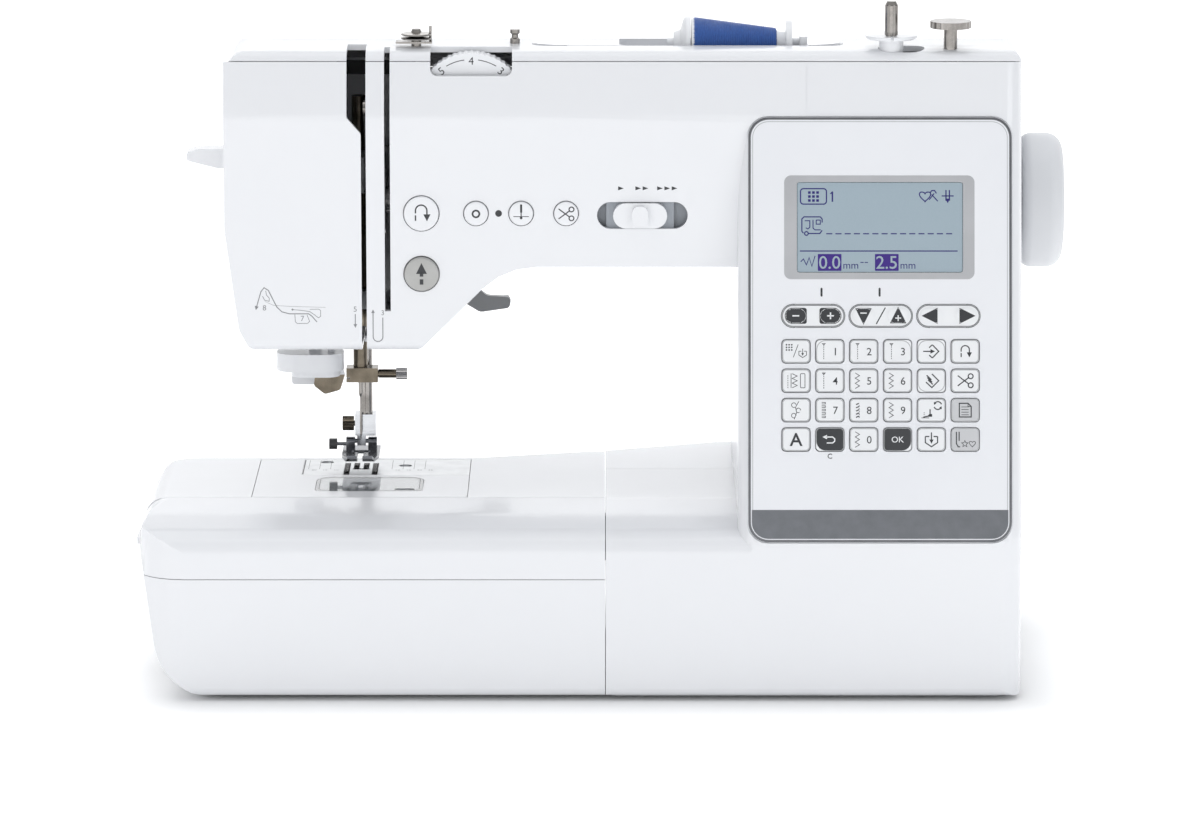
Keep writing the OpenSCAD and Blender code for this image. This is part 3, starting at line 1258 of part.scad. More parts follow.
module switch_hole(g) {
    block([column_x1 - 12, switch_y - 7 - g, switch_z - 11 - g],
          [column_x1 + 1, switch_y + 7 + g, switch_z + 11 + g]);
}
module power_switch() {
    color("dimgray") front_form([[column_x1 - 7, switch_z - 9.4, 0], [column_x1 - 1.2, switch_z - 9.4, 1],
                                 [column_x1, switch_z, 0], [column_x1 + 1.6, switch_z + 9.4, 1],
                                 [column_x1 - 7, switch_z + 9.4, 0]],
                                switch_y - 6.8, switch_y + 6.8);
}

// ---- Thread stand ----
pin_r = 2.2;
module spool_pin() {
    color("whitesmoke") {
        rod_x(spool_x0 - 2.8, tub[1].x - 2, spool_y, spool_z, pin_r);
        // foot that stands on the tub's floor, against its wall
        plan_form(rect(3.6, 14, 1, tub[1].x - seam - 1.8, spool_y), tub_floor, spool_z + 3.6);
    }
}
module spin_x(x) {
    translate([x, spool_y, spool_z]) rotate([0, 90, 0]) rotate_extrude() children();
}
spool_bore = pin_r + 0.1;
winding_x0 = cap_t + 0.4;
module thread_spool() {
    color("royalblue") spin_x(spool_x0) polygon([
        [spool_bore, winding_x0], [cap_r - 0.8, winding_x0], [cap_r - 0.4, winding_x0 + 1.5],
        [6.6, winding_x0 + winding_l - 0.6], [5.4, winding_x0 + winding_l],
        [5, winding_x0 + winding_l + 3.6], [cap_r - 1.6, winding_x0 + winding_l + 4],
        [cap_r - 1.6, winding_x0 + winding_l + 6.6], [spool_bore, winding_x0 + winding_l + 6.6]]);
}
module spool_cap() {
    color("whitesmoke") spin_x(spool_x0) polygon(rounded([
        [spool_bore, 0, 0], [5, 0, 0.5], [6, 3, 0.5], [cap_r - 1, 4.4, 0.6], [cap_r, 5.6, 0.6],
        [cap_r, cap_t, 0.4], [spool_bore, cap_t, 0]]));
}
stem_r = 5.4;
module winder_seat() {
    color("whitesmoke") difference() {
        union() {
            translate([winder_x, winder_y, 0]) rotate_extrude() polygon(rounded([
                [axle_r + shaft_gap, seam_h - 1, 0], [stem_r, seam_h - 1, 0], [stem_r, winder_z, 0],
                [winder_seat_r - 1, winder_z, 0], [winder_seat_r, winder_z + 0.8, 0.4],
                [winder_seat_r, winder_z + 1.8, 0.4], [axle_r + shaft_gap, winder_z + 1.2, 0]]));
            // plate that slides under the crown
            difference() {
                block([winder_x - 8, winder_y - 2, seam_h - 2], [winder_x + 8, winder_y + 9, seam_h + 1.1]);
                rod_z(seam_h - 3, seam_h + 2, winder_x, winder_y, axle_r + shaft_gap);
            }
        }
        // slit that holds and cuts the thread
        block([winder_x - 0.5, winder_y - winder_seat_r - 1, winder_z - 1],
              [winder_x + 0.5, winder_y - winder_seat_r + 5, winder_z + 3]);
    }
}
module winder_shaft() {
    color("silver") translate([winder_x, winder_y, 0]) rotate_extrude()
        polygon([[0, seam_h - 8], [axle_r, seam_h - 8], [axle_r, winder_z + 1.6],
                 [winder_r, winder_z + 1.6], [winder_r, winder_z + 14.6],
                 [winder_r - 1, winder_z + 16.5], [0, winder_z + 16.5]]);
}
stop_z = winder_z + 4.8;
module winder_stop() {
    color("silver") {
        rod_z(seam_h - 4, stop_z + 1, stop_x, winder_y, 3);
        translate([stop_x, winder_y, stop_z]) linear_extrude(3)
            polygon([for (i = [0:47]) (9.1 - (i % 2) * 0.35) * [cos(7.5 * i), sin(7.5 * i)]]);
    }
}
guide_x = needle_x + 27.7;
guide_y = head_y0 + 19;
stud_x = dial_x + 19;
module thread_guides() {
    color("silver") {
        // pretension discs on their post, over a flat bracket
        translate([guide_x, guide_y, crown_h]) rotate_extrude()
            polygon([[0, 0], [2.2, 0], [2.2, 2.6], [6.6, 3.2], [6.9, 3.8], [2.4, 4.4], [6.9, 5],
                     [6.6, 5.6], [2.4, 6.2], [1.8, 7.6], [0, 7.6]]);
        block([guide_x - 9, guide_y - 3.4, crown_h + 1.4], [guide_x + 7, guide_y + 3.4, crown_h + 2.2]);
        rod_z(crown_h + 1.5, crown_h + 8.6, guide_x + 6.2, guide_y + 2.4, 0.6);
        // thread guide stud
        translate([stud_x, head_y0 + 28, crown_h]) rotate_extrude()
            polygon([[0, 0], [2.2, 0], [2.2, 2], [1.5, 2.6], [1.5, 4], [2.2, 4.6], [2.2, 6.2],
                     [0, 6.2]]);
    }
}

front_cover();
rear_cover();
face_plate();
top_cover();
base_tray();
free_arm_cover();
rubber_feet();
housing_screws();
plate_cover();
needle_plate();
bobbin_cover();
feed_dogs();
hook_race();
bobbin_case();
bobbin();
accessory_bin();
accessory_lid();
carry_handle();
spool_pin();
thread_spool();
spool_cap();
winder_seat();
winder_shaft();
winder_stop();
thread_guides();
tension_dial();
panel_plate();
keypad();
width_rocker();
length_rocker();
select_rocker();
reverse_button();
start_stop_button();
reinforce_button();
needle_button();
cutter_button();
speed_slider();
handwheel();
upper_shaft();
timing_belt();
lower_shaft();
motor();
motor_pulley();
motor_belt();
main_frame();
needle_bar();
clamp_screw();
needle();
presser_bar();
foot_holder();
foot_screw();
presser_foot();
presser_lever();
take_up_lever();
threader_lever();
needle_threader();
buttonhole_lever();
control_board();
power_inlet();
power_switch();
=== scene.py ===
# %% [markdown]
# # A computerised sewing machine
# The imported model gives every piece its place. This notebook dresses it: the moulded
# housing gets clean shading, the panel its keys and display, the metal parts their finish,
# and the spool its winding. x runs from the needle head to the handwheel, y from front to
# back, z up. Meshes are in metres; named places and flat drawings are in millimetres.

# %% Load the frame
import json
import math
import bmesh
import bpy
from mathutils import Matrix, Vector
from mathutils.bvhtree import BVHTree


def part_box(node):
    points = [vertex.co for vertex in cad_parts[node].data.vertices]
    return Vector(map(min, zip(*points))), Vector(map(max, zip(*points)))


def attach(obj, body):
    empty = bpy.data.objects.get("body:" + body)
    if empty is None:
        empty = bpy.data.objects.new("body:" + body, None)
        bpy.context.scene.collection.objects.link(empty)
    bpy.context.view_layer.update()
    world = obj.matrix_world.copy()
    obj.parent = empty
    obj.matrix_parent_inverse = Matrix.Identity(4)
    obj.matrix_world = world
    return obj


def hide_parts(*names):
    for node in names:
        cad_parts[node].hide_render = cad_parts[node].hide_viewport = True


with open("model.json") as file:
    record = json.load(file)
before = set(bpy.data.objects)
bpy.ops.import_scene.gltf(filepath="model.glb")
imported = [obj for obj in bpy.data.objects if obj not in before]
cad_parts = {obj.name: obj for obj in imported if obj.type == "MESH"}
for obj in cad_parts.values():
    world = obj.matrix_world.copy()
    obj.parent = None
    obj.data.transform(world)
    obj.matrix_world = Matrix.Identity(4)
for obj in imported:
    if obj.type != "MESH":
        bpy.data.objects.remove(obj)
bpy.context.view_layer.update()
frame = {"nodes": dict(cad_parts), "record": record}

MM = 0.001
BODY_OF = {n: b for b, members in frame["record"]["behaviour"]["bodies"].items() for n in members}


# %% Objects and boxes
def new_object(name, data):
    obj = bpy.data.objects.new(name, data)
    bpy.context.scene.collection.objects.link(obj)
    return obj


def new_mesh(name, verts, faces, finish):
    mesh = bpy.data.meshes.new(name)
    mesh.from_pydata(verts, [], faces)
    mesh.materials.append(finish)
    return mesh


def mounted(obj, node):
    """The object, riding the body that carries the node."""
    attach(obj, BODY_OF[node])
    return obj


def box_mm(node):
    """The low and the high corner of a node, in millimetres."""
    low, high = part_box(node)
    return low / MM, high / MM


def middle(node):
    """The middle of a node's box, in millimetres."""
    low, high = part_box(node)
    return (low + high) / (2 * MM)


print("head end at x", round(box_mm("face_plate")[0].x, 1))

# %% [markdown]
# ## Camera, light and floor
# The machine stands on a white sweep in a soft studio light. A long lens from a little above
# the table keeps the verticals nearly parallel. Five large area lights give broad, soft
# reflections on the glossy housing: two from the front corners, one above, one low in front
# and one behind.

# %% Camera
SENSOR_W, IMAGE_W, FOCAL_PIXELS = 36.0, 1200, 6384.0
CAMERA_AT, PITCH_DEG = (-0.00176, -2.8294, 0.6623), 11.0

camera = new_object("camera", bpy.data.cameras.new("camera"))
camera.data.sensor_width = SENSOR_W
camera.data.lens = FOCAL_PIXELS * SENSOR_W / IMAGE_W
camera.data.clip_start, camera.data.clip_end = 0.1, 50.0
camera.location = CAMERA_AT
camera.rotation_euler = (math.radians(90.0 - PITCH_DEG), 0.0, 0.0)
bpy.context.scene.camera = camera
print("camera lens", round(camera.data.lens, 1), "mm")

# %% Lights
WHITE, WARM, COOL = (1.0, 1.0, 1.0), (1.0, 0.99, 0.98), (0.97, 0.99, 1.0)
# name, place, height aimed at, width and height, watts, colour
LIGHTS = (("light_left", (-1.5, -2.0, 0.8), 0.12, (1.8, 1.2), 9.0, WARM),
          ("light_right", (1.9, -1.6, 0.8), 0.12, (1.2, 1.4), 8.2, COOL),
          ("light_top", (0.0, 0.2, 2.2), 0.1, (2.4, 1.8), 12.5, WHITE),
          ("light_front", (0.0, -2.8, 0.2), 0.1, (2.6, 0.5), 5.2, WHITE),
          ("light_back", (0.4, 2.2, 1.4), 0.15, (2.4, 1.4), 6.0, WHITE))
for name, place, aim, size, watts, colour in LIGHTS:
    lamp = new_object(name, bpy.data.lights.new(name, "AREA"))
    lamp.data.shape = "RECTANGLE"
    lamp.data.size, lamp.data.size_y = size
    lamp.data.energy = watts
    lamp.data.color = colour
    lamp.location = place
    way = Vector((0.0, 0.0, aim)) - Vector(place)
    lamp.rotation_euler = way.to_track_quat("-Z", "Y").to_euler()

# white goes through unchanged, so that a lit white sweep comes out white
bpy.context.scene.view_settings.view_transform = "Standard"
print("lights", len(bpy.data.lights))


# %% Node helpers
def fill(tree, node, inputs):
    """Gives each named input a value, or a link from an output socket."""
    for label, value in inputs.items():
        socket = node.inputs[label]
        if isinstance(value, bpy.types.NodeSocket):
            tree.links.new(value, socket)
        else:
            socket.default_value = (*value, 1.0) if socket.type == "RGBA" else value


def add_node(tree, kind, inputs=None, **settings):
    """A new node; its settings come first, because they decide which inputs it has."""
    node = tree.nodes.new(kind)
    for label, value in settings.items():
        setattr(node, label, value)
    fill(tree, node, inputs or {})
    return node


def number_math(tree, operation, *values):
    node = add_node(tree, "ShaderNodeMath", dict(enumerate(values)), operation=operation)
    return node.outputs["Value"]


def vector_math(tree, operation, *values, result="Vector"):
    node = add_node(tree, "ShaderNodeVectorMath", dict(enumerate(values)), operation=operation)
    return node.outputs[result]


def ranged(tree, factor, low, high, start=0.3, stop=0.7, curve="LINEAR"):
    """low to high, as the factor goes from start to stop."""
    inputs = {"Value": factor, "From Min": start, "From Max": stop, "To Min": low, "To Max": high}
    return add_node(tree, "ShaderNodeMapRange", inputs, interpolation_type=curve).outputs["Result"]


def two_tone(tree, factor, first, second):
    inputs = {"Factor": factor, "A": first, "B": second}
    return add_node(tree, "ShaderNodeMix", inputs, data_type="RGBA").outputs["Result"]


def noise(tree, vector, scale, detail, rough=0.5):
    inputs = {"Vector": vector, "Scale": scale, "Detail": detail, "Roughness": rough}
    return add_node(tree, "ShaderNodeTexNoise", inputs).outputs["Fac"]


def bumped(tree, height, depth, strength=0.5):
    inputs = {"Height": height, "Distance": depth, "Strength": strength}
    return add_node(tree, "ShaderNodeBump", inputs).outputs["Normal"]


def new_material(name):
    """(material, its node tree, object coordinates)"""
    mat = bpy.data.materials.new(name)
    mat.use_nodes = True
    tree = mat.node_tree
    return mat, tree, add_node(tree, "ShaderNodeTexCoord").outputs["Object"]


def surfaced(mat, inputs):
    """The material, with the inputs of its surface filled."""
    fill(mat.node_tree, mat.node_tree.nodes["Principled BSDF"], inputs)
    return mat


# %% Studio room
DIM_FRONT, BRIGHT_BACK, ROOM_STRENGTH = (0.24, 0.245, 0.255), (0.95, 0.97, 1.0), 0.77


def studio_room(tree):
    """A room that is bright above and behind, and dim in front, so that bare metal has
    something dark to mirror."""
    way = add_node(tree, "ShaderNodeTexCoord").outputs["Generated"]
    split = add_node(tree, "ShaderNodeSeparateXYZ", {"Vector": way}).outputs
    above = ranged(tree, split["Z"], 0.0, 1.0, 0.05, 0.75, "SMOOTHSTEP")
    behind = ranged(tree, split["Y"], 0.0, 1.0, -0.2, 0.6, "SMOOTHSTEP")
    either = number_math(tree, "MAXIMUM", above, behind)
    fill(tree, tree.nodes["Background"],
         {"Color": two_tone(tree, either, DIM_FRONT, BRIGHT_BACK), "Strength": ROOM_STRENGTH})


world = bpy.data.worlds.new("studio")
bpy.context.scene.world = world
world.use_nodes = True
studio_room(world.node_tree)
print("room nodes", len(world.node_tree.nodes))

# %% Sweep
# painted light: the paper's glow starts at the edge of the machine's footprint and is full at the
# set reach outside, so it lightens the machine's shadow on the floor there
FOOTPRINT_HALF, PAINTED_GLOW_REACH, PAINTED_GLOW = (0.175, 0.085, 0.0), 0.06, 0.42
SWEEP_FRONT, SWEEP_HALF_W = -4.5, 6.0
BEND_START, BEND_R, BEND_STEPS, WALL_TOP = 3.0, 1.2, 12, 5.0


def white_sweep():
    """White paper with a painted glow: it emits light away from the machine's footprint and
    lightens the machine's shadow on the floor there.
    """
    mat, tree, where = new_material("white_sweep")
    beyond = vector_math(tree, "SUBTRACT", vector_math(tree, "ABSOLUTE", where), FOOTPRINT_HALF)
    outside = vector_math(tree, "MAXIMUM", beyond)
    away = vector_math(tree, "LENGTH", outside, result="Value")
    # painted light: emission that rises with the distance from the footprint
    painted_glow = ranged(tree, away, 0.0, PAINTED_GLOW, 0.0, PAINTED_GLOW_REACH, "SMOOTHSTEP")
    return surfaced(mat, {
        "Base Color": (0.93, 0.93, 0.93), "Roughness": 0.9, "Specular IOR Level": 0.1,
        "Emission Color": WHITE, "Emission Strength": painted_glow})


def sweep_floor():
    """A pale floor that curves up far behind the machine."""
    profile = [(SWEEP_FRONT, 0.0), (BEND_START, 0.0)]
    for i in range(1, BEND_STEPS + 1):
        a = math.radians(90.0 * i / BEND_STEPS)
        profile.append((BEND_START + BEND_R * math.sin(a), BEND_R * (1.0 - math.cos(a))))
    profile.append((BEND_START + BEND_R, WALL_TOP))
    verts = [(x, y, z) for y, z in profile for x in (-SWEEP_HALF_W, SWEEP_HALF_W)]
    faces = [(2 * i, 2 * i + 1, 2 * i + 3, 2 * i + 2) for i in range(len(profile) - 1)]
    mesh = new_mesh("sweep", verts, faces, white_sweep())
    for p in mesh.polygons:
        p.use_smooth = True
    obj = new_object("sweep", mesh)
    return obj


print("sweep faces", len(sweep_floor().data.polygons))

# %% [markdown]
# ## Shared effects
# Moulded plastic has a fine orange-peel grain and slow changes of tone where the melt cooled
# unevenly. Turned and brushed metal has fine lines along one direction. Dust gathers on what
# faces up. A picture could hold each effect, but a node group in object space never stretches,
# so each is built once as a group and placed in the materials with their own values.

# %% Group builder
ORIGIN = (0.0, 0.0, 0.0)
SOCKET_FOR = {float: "NodeSocketFloat", tuple: "NodeSocketVector",
              type(None): "NodeSocketMaterial"}


def new_group(name, inputs, outputs, kind="ShaderNodeTree", result="NodeSocketFloat"):
    """(node group, its given sockets, its end node); inputs are the names and first values."""
    group = bpy.data.node_groups.new(name, kind)
    for label, value in inputs.items():
        socket = group.interface.new_socket(label, in_out="INPUT",
                                            socket_type=SOCKET_FOR[type(value)])
        if value is not None:
            socket.default_value = value
    for label in outputs:
        group.interface.new_socket(label, in_out="OUTPUT", socket_type=result)
    return group, add_node(group, "NodeGroupInput").outputs, add_node(group, "NodeGroupOutput")


# %% Moulded skin, turned lines and dust
def moulded_skin_group():
    group, given, end = new_group(
        "moulded_skin", {"Vector": ORIGIN, "Grain Scale": 1500.0, "Blotch Scale": 14.0},
        ["Grain", "Tone"])
    where = given["Vector"]
    fill(group, end, {"Grain": noise(group, where, given["Grain Scale"], 2.0),
                      "Tone": noise(group, where, given["Blotch Scale"], 4.0, 0.6)})
    return group


def turned_lines_group():
    group, given, end = new_group(
        "turned_lines", {"Vector": ORIGIN, "Stretch": (1.0, 40.0, 40.0), "Line Scale": 90.0},
        ["Lines", "Tone"])
    stretched = vector_math(group, "MULTIPLY", given["Vector"], given["Stretch"])
    fill(group, end, {"Lines": noise(group, stretched, given["Line Scale"], 3.0, 0.65),
                      "Tone": noise(group, given["Vector"], 160.0, 4.0)})
    return group


def settled_dust_group():
    group, given, end = new_group("settled_dust", {"Vector": ORIGIN, "Amount": 0.2}, ["Mask"])
    normal = add_node(group, "ShaderNodeNewGeometry").outputs["Normal"]
    split = add_node(group, "ShaderNodeSeparateXYZ", {"Vector": normal}).outputs
    upward = ranged(group, split["Z"], 0.0, 1.0, 0.35, 1.0)
    specks = ranged(group, noise(group, given["Vector"], 420.0, 5.0, 0.7), 0.0, 1.0, 0.5, 0.75)
    both = number_math(group, "MULTIPLY", upward, specks)
    fill(group, end, {"Mask": number_math(group, "MULTIPLY", both, given["Amount"])})
    return group


MOULDED_SKIN = moulded_skin_group()
TURNED_LINES = turned_lines_group()
SETTLED_DUST = settled_dust_group()
print("groups", [g.name for g in bpy.data.node_groups])


# %% [markdown]
# ## Finishes
# The machine has a handful of finishes: glossy white housing, satin white keys and buttons,
# clear and dark plastic, steel, chrome and bronze-coloured metal, cast aluminium, rubber, a
# green circuit board and thread. A finish could be built by hand each time, but most differ
# only in their numbers, so one function makes the plastics and another the metals.

# %% Plastics and metals
DUST_COLOUR = (0.62, 0.60, 0.56)
COAT_ROUGHNESS = 0.08


def placed(tree, group, inputs):
    """The outputs of a shared effect placed in a material."""
    return add_node(tree, "ShaderNodeGroup", inputs, node_tree=group).outputs


def plastic(name, first, second, rough, grain=1500.0, depth=0.02, coat=0.0, dust=0.0):
    """Moulded plastic or rubber: two close tones, a ranged roughness and a grain whose depth
    is in millimetres."""
    mat, tree, where = new_material(name)
    skin = placed(tree, MOULDED_SKIN, {"Vector": where, "Grain Scale": grain})
    colour = two_tone(tree, ranged(tree, skin["Tone"], 0.0, 1.0), first, second)
    if dust > 0:
        settled = placed(tree, SETTLED_DUST, {"Vector": where, "Amount": dust})
        colour = two_tone(tree, settled["Mask"], colour, DUST_COLOUR)
    return surfaced(mat, {
        "Base Color": colour, "Roughness": ranged(tree, skin["Tone"], *rough),
        "Normal": bumped(tree, skin["Grain"], depth * MM),
        "Coat Weight": coat, "Coat Roughness": COAT_ROUGHNESS})


def ink(name, first, second, rough=(0.4, 0.55), depth=0.005):
    return plastic(name, first, second, rough, 3000.0, depth)


def metal(name, first, second, rough, stretch=(1.0, 40.0, 40.0), lines=90.0, depth=0.01):
    """Turned, brushed or cast metal, with its lines along the axis that isn't stretched."""
    mat, tree, where = new_material(name)
    worked = placed(tree, TURNED_LINES, {"Vector": where, "Stretch": stretch, "Line Scale": lines})
    tone = ranged(tree, worked["Tone"], 0.0, 1.0)
    return surfaced(mat, {
        "Base Color": two_tone(tree, tone, first, second),
        "Roughness": ranged(tree, worked["Lines"], *rough),
        "Normal": bumped(tree, worked["Lines"], depth * MM), "Metallic": 1.0})


UPRIGHT, EVEN, DEEP = (40.0, 40.0, 1.0), (1.0, 1.0, 1.0), (1.0, 40.0, 1.0)
SHELL = plastic("shell_white", (0.782, 0.79, 0.81), (0.77, 0.778, 0.80), (0.20, 0.26), coat=0.35)
PANEL = plastic("panel_white", (0.79, 0.80, 0.825), (0.76, 0.77, 0.80), (0.30, 0.38), 2600.0)
KEY = plastic("key_white", (0.80, 0.81, 0.82), (0.76, 0.77, 0.785), (0.40, 0.50), 2200.0)
BUTTON = plastic("button_white", (0.80, 0.81, 0.83), (0.77, 0.78, 0.80), (0.28, 0.36), coat=0.2)
# the tray's own plainer white, and painted shade on the handwheel
TRAY_WHITE_AND_WHEEL_SHADE = plastic("tray_white_and_wheel_shade", (0.70, 0.71, 0.73), (0.66, 0.67, 0.69), (0.38, 0.50), 900.0)
SMOKE = plastic("dark_plastic", (0.035, 0.035, 0.038), (0.05, 0.05, 0.052), (0.35, 0.5),
                dust=0.25)
RUBBER = plastic("rubber_grey", (0.055, 0.055, 0.058), (0.085, 0.085, 0.088), (0.65, 0.8), 700.0,
                 0.06, dust=0.4)
# painted shade: the grey of the shaded recess behind the speed slot
WELL_PAINTED_SHADE = plastic("well_painted_shade", (0.36, 0.385, 0.42), (0.31, 0.335, 0.37), (0.30, 0.42))
LEVER_GREY = plastic("lever_grey", (0.16, 0.165, 0.17), (0.20, 0.205, 0.21), (0.3, 0.42),
                     dust=0.2)
STEEL = metal("turned_steel", (0.50, 0.49, 0.48), (0.38, 0.37, 0.37), (0.16, 0.26))
BAR_STEEL = metal("ground_bar", (0.37, 0.35, 0.33), (0.24, 0.225, 0.21), (0.12, 0.26), UPRIGHT)
CHROME = metal("bright_chrome", (0.62, 0.63, 0.65), (0.52, 0.53, 0.55), (0.06, 0.16), depth=0.003)
BRONZE = metal("bronze_plated", (0.20, 0.17, 0.13), (0.115, 0.098, 0.075), (0.16, 0.26), UPRIGHT)
FOOT_STEEL = metal("foot_steel", (0.22, 0.225, 0.24), (0.13, 0.135, 0.15), (0.12, 0.24))
CAST = metal("cast_aluminium", (0.46, 0.47, 0.48), (0.36, 0.37, 0.38), (0.45, 0.62), EVEN, 700.0,
             0.08)
PLATE_STEEL = metal("brushed_plate", (0.58, 0.59, 0.60), (0.50, 0.51, 0.52), (0.28, 0.36), DEEP,
                    60.0)
START_SILVER = metal("silver_lacquer", (0.42, 0.42, 0.41), (0.38, 0.38, 0.37), (0.34, 0.44), EVEN,
                     1800.0)
INK = ink("dark_ink", (0.028, 0.03, 0.034), (0.04, 0.042, 0.046))
GREY_INK = ink("grey_ink", (0.20, 0.205, 0.215), (0.24, 0.245, 0.255))
PALE_INK = ink("pale_ink", (0.42, 0.43, 0.44), (0.47, 0.48, 0.49), (0.4, 0.5))
print("finishes", len(bpy.data.materials))


# %% Circuit board, thread, clear plastic, display
DOT_PITCH = 0.5 * MM


def circuit_board():
    mat, tree, where = new_material("circuit_board")
    tracks = add_node(tree, "ShaderNodeTexBrick",
                      {"Vector": where, "Scale": 160.0, "Mortar Size": 0.06,
                       "Color1": (0.012, 0.11, 0.045), "Color2": (0.010, 0.085, 0.035),
                       "Mortar": (0.05, 0.22, 0.10)}).outputs
    return surfaced(mat, {
        "Base Color": tracks["Color"],
        "Roughness": ranged(tree, tracks["Fac"], 0.3, 0.5, 0.0, 1.0)})


def thread(name, first, second):
    """Twisted thread: close fibres that run round the spool, with a soft sheen."""
    mat, tree, where = new_material(name)
    worked = placed(tree, TURNED_LINES, {"Vector": where, "Stretch": (1.0, 0.25, 0.25),
                                         "Line Scale": 2600.0})
    blend = ranged(tree, worked["Lines"], 0.0, 1.0)
    return surfaced(mat, {
        "Base Color": two_tone(tree, blend, first, second),
        "Roughness": ranged(tree, worked["Tone"], 0.42, 0.62),
        "Normal": bumped(tree, worked["Lines"], 0.05 * MM),
        "Sheen Weight": 0.12, "Sheen Roughness": 0.4})


def clear_plastic():
    mat, tree, where = new_material("clear_plastic")
    skin = placed(tree, MOULDED_SKIN, {"Vector": where, "Grain Scale": 300.0})
    colour = two_tone(tree, skin["Tone"], (0.90, 0.93, 0.95), (0.82, 0.86, 0.89))
    return surfaced(mat, {
        "Base Color": colour, "Roughness": ranged(tree, skin["Tone"], 0.03, 0.10),
        "Normal": bumped(tree, skin["Grain"], 0.01 * MM, 0.2),
        "Transmission Weight": 0.85, "IOR": 1.49,
        "Coat Weight": 0.8, "Coat Roughness": 0.03})


def display_glass():
    """Pale blue liquid-crystal display: a slow change of tone under a faint dot matrix."""
    mat, tree, where = new_material("display_blue")
    upright = add_node(tree, "ShaderNodeMapping",
                       {"Vector": where, "Rotation": (math.radians(-90.0), 0.0, 0.0)})
    dots = add_node(tree, "ShaderNodeTexBrick",
                    {"Vector": upright.outputs["Vector"], "Scale": 1.0 / DOT_PITCH,
                     "Brick Width": 1.0, "Row Height": 1.0, "Mortar Size": 0.05,
                     "Color1": (0.31, 0.38, 0.43), "Color2": (0.32, 0.39, 0.44),
                     "Mortar": (0.285, 0.355, 0.405)}, offset=0.0)
    slow = noise(tree, where, 16.0, 1.0)
    tint = two_tone(tree, ranged(tree, slow, 0.0, 0.35), dots.outputs["Color"],
                    (0.29, 0.36, 0.395))
    return surfaced(mat, {
        "Base Color": tint, "Emission Color": tint, "Emission Strength": 0.12,
        "Roughness": ranged(tree, slow, 0.12, 0.2)})


BOARD = circuit_board()
THREAD_BLUE = thread("thread_blue", (0.014, 0.060, 0.25), (0.022, 0.10, 0.37))
CLEAR = clear_plastic()
DISPLAY = display_glass()
DISPLAY_INK = ink("display_ink", (0.035, 0.03, 0.16), (0.05, 0.045, 0.20), (0.2, 0.26), 0.004)
DISPLAY_VIOLET = ink("display_violet", (0.05, 0.025, 0.20), (0.06, 0.03, 0.24), (0.2, 0.26),
                     0.004)
BEZEL = plastic("bezel_silver", (0.47, 0.475, 0.49), (0.36, 0.365, 0.38), (0.30, 0.42), 2600.0,
                0.03)
GREY_KEY = plastic("key_grey", (0.56, 0.565, 0.58), (0.52, 0.525, 0.54), (0.30, 0.40), 2600.0)
BAR_GREY = metal("silver_print", (0.23, 0.24, 0.258), (0.20, 0.21, 0.225), (0.34, 0.46), EVEN,
                 2000.0)
EDGE_SILVER = metal("silver_edge", (0.26, 0.265, 0.28), (0.21, 0.215, 0.23), (0.28, 0.36))
print("finishes", len(bpy.data.materials))

# %% [markdown]
# ## Skins
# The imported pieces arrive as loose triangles, so light would break on every facet of a rounded
# corner. Subdividing would round off the crisp joint lines too. Instead doubled points are
# merged, edges sharper than a set angle are marked, and face-weighted normals carry the light
# over the fillets while flats stay flat. A rule can give some faces a second finish.

# %% Skin builder
MERGE, THINNEST = 0.002 * MM, 0.001 * MM
SHARP_DEG, FACE_WEIGHT = 32.0, 80
DRESSED, SLOT_OF = {}, {}


def as_plain_mesh(obj, name):
    """The evaluated object as a new plain one; the first is removed."""
    view = bpy.context.evaluated_depsgraph_get()
    mesh = bpy.data.meshes.new_from_object(obj.evaluated_get(view), depsgraph=view)
    bpy.data.objects.remove(obj)
    mesh.name = name
    return new_object(name, mesh)


def skin(node, finish, slot, rule=None, other=None):
    """A smooth-shaded copy of a node. A face wears the other finish where the rule holds for
    its centre in millimetres."""
    mesh = frame["nodes"][node].data.copy()
    mesh.materials.clear()
    mesh.materials.append(finish)
    if other:
        mesh.materials.append(other)
    bm = bmesh.new()
    bm.from_mesh(mesh)
    bmesh.ops.remove_doubles(bm, verts=bm.verts, dist=MERGE)
    bmesh.ops.dissolve_degenerate(bm, dist=THINNEST, edges=bm.edges)
    for face in bm.faces:
        face.smooth = True
        face.material_index = int(bool(rule and rule(face.calc_center_median() / MM)))
    for edge in bm.edges:
        edge.smooth = (len(edge.link_faces) == 2
                       and edge.calc_face_angle(0.0) < math.radians(SHARP_DEG))
    bm.to_mesh(mesh)
    bm.free()
    obj = new_object(node + "_rough", mesh)
    weigh = obj.modifiers.new("weigh", "WEIGHTED_NORMAL")
    weigh.keep_sharp = True
    weigh.weight = FACE_WEIGHT
    obj = mounted(as_plain_mesh(obj, node + "_skin"), node)
    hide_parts(node)
    DRESSED[node], SLOT_OF[node] = obj, slot


def skins(nodes, finish, slot):
    for node in nodes.split():
        skin(node, finish, slot)


# %% [markdown]
# ## Housing
# The covers, the bin and its lid and the carry handle are one glossy white. The tray below is a
# plainer, slightly darker white, and the feet are grey rubber. The handwheel wears the tray's
# white as painted shade on its side face. The speed slide is white with a flange painted a
# shaded grey, which runs behind the slot.

# %% Housing pieces
SLIDE_BACK = box_mm("speed_slider")[1].y
FLANGE_Y = SLIDE_BACK - 1.6

skins("front_cover rear_cover face_plate top_cover free_arm_cover accessory_bin accessory_lid "
      "carry_handle threader_lever plate_cover winder_seat spool_pin", SHELL, "shell")
# the flange seen through the slot wears painted shade
skin("speed_slider", SHELL, "shell", lambda c: c.y > FLANGE_Y, WELL_PAINTED_SHADE)
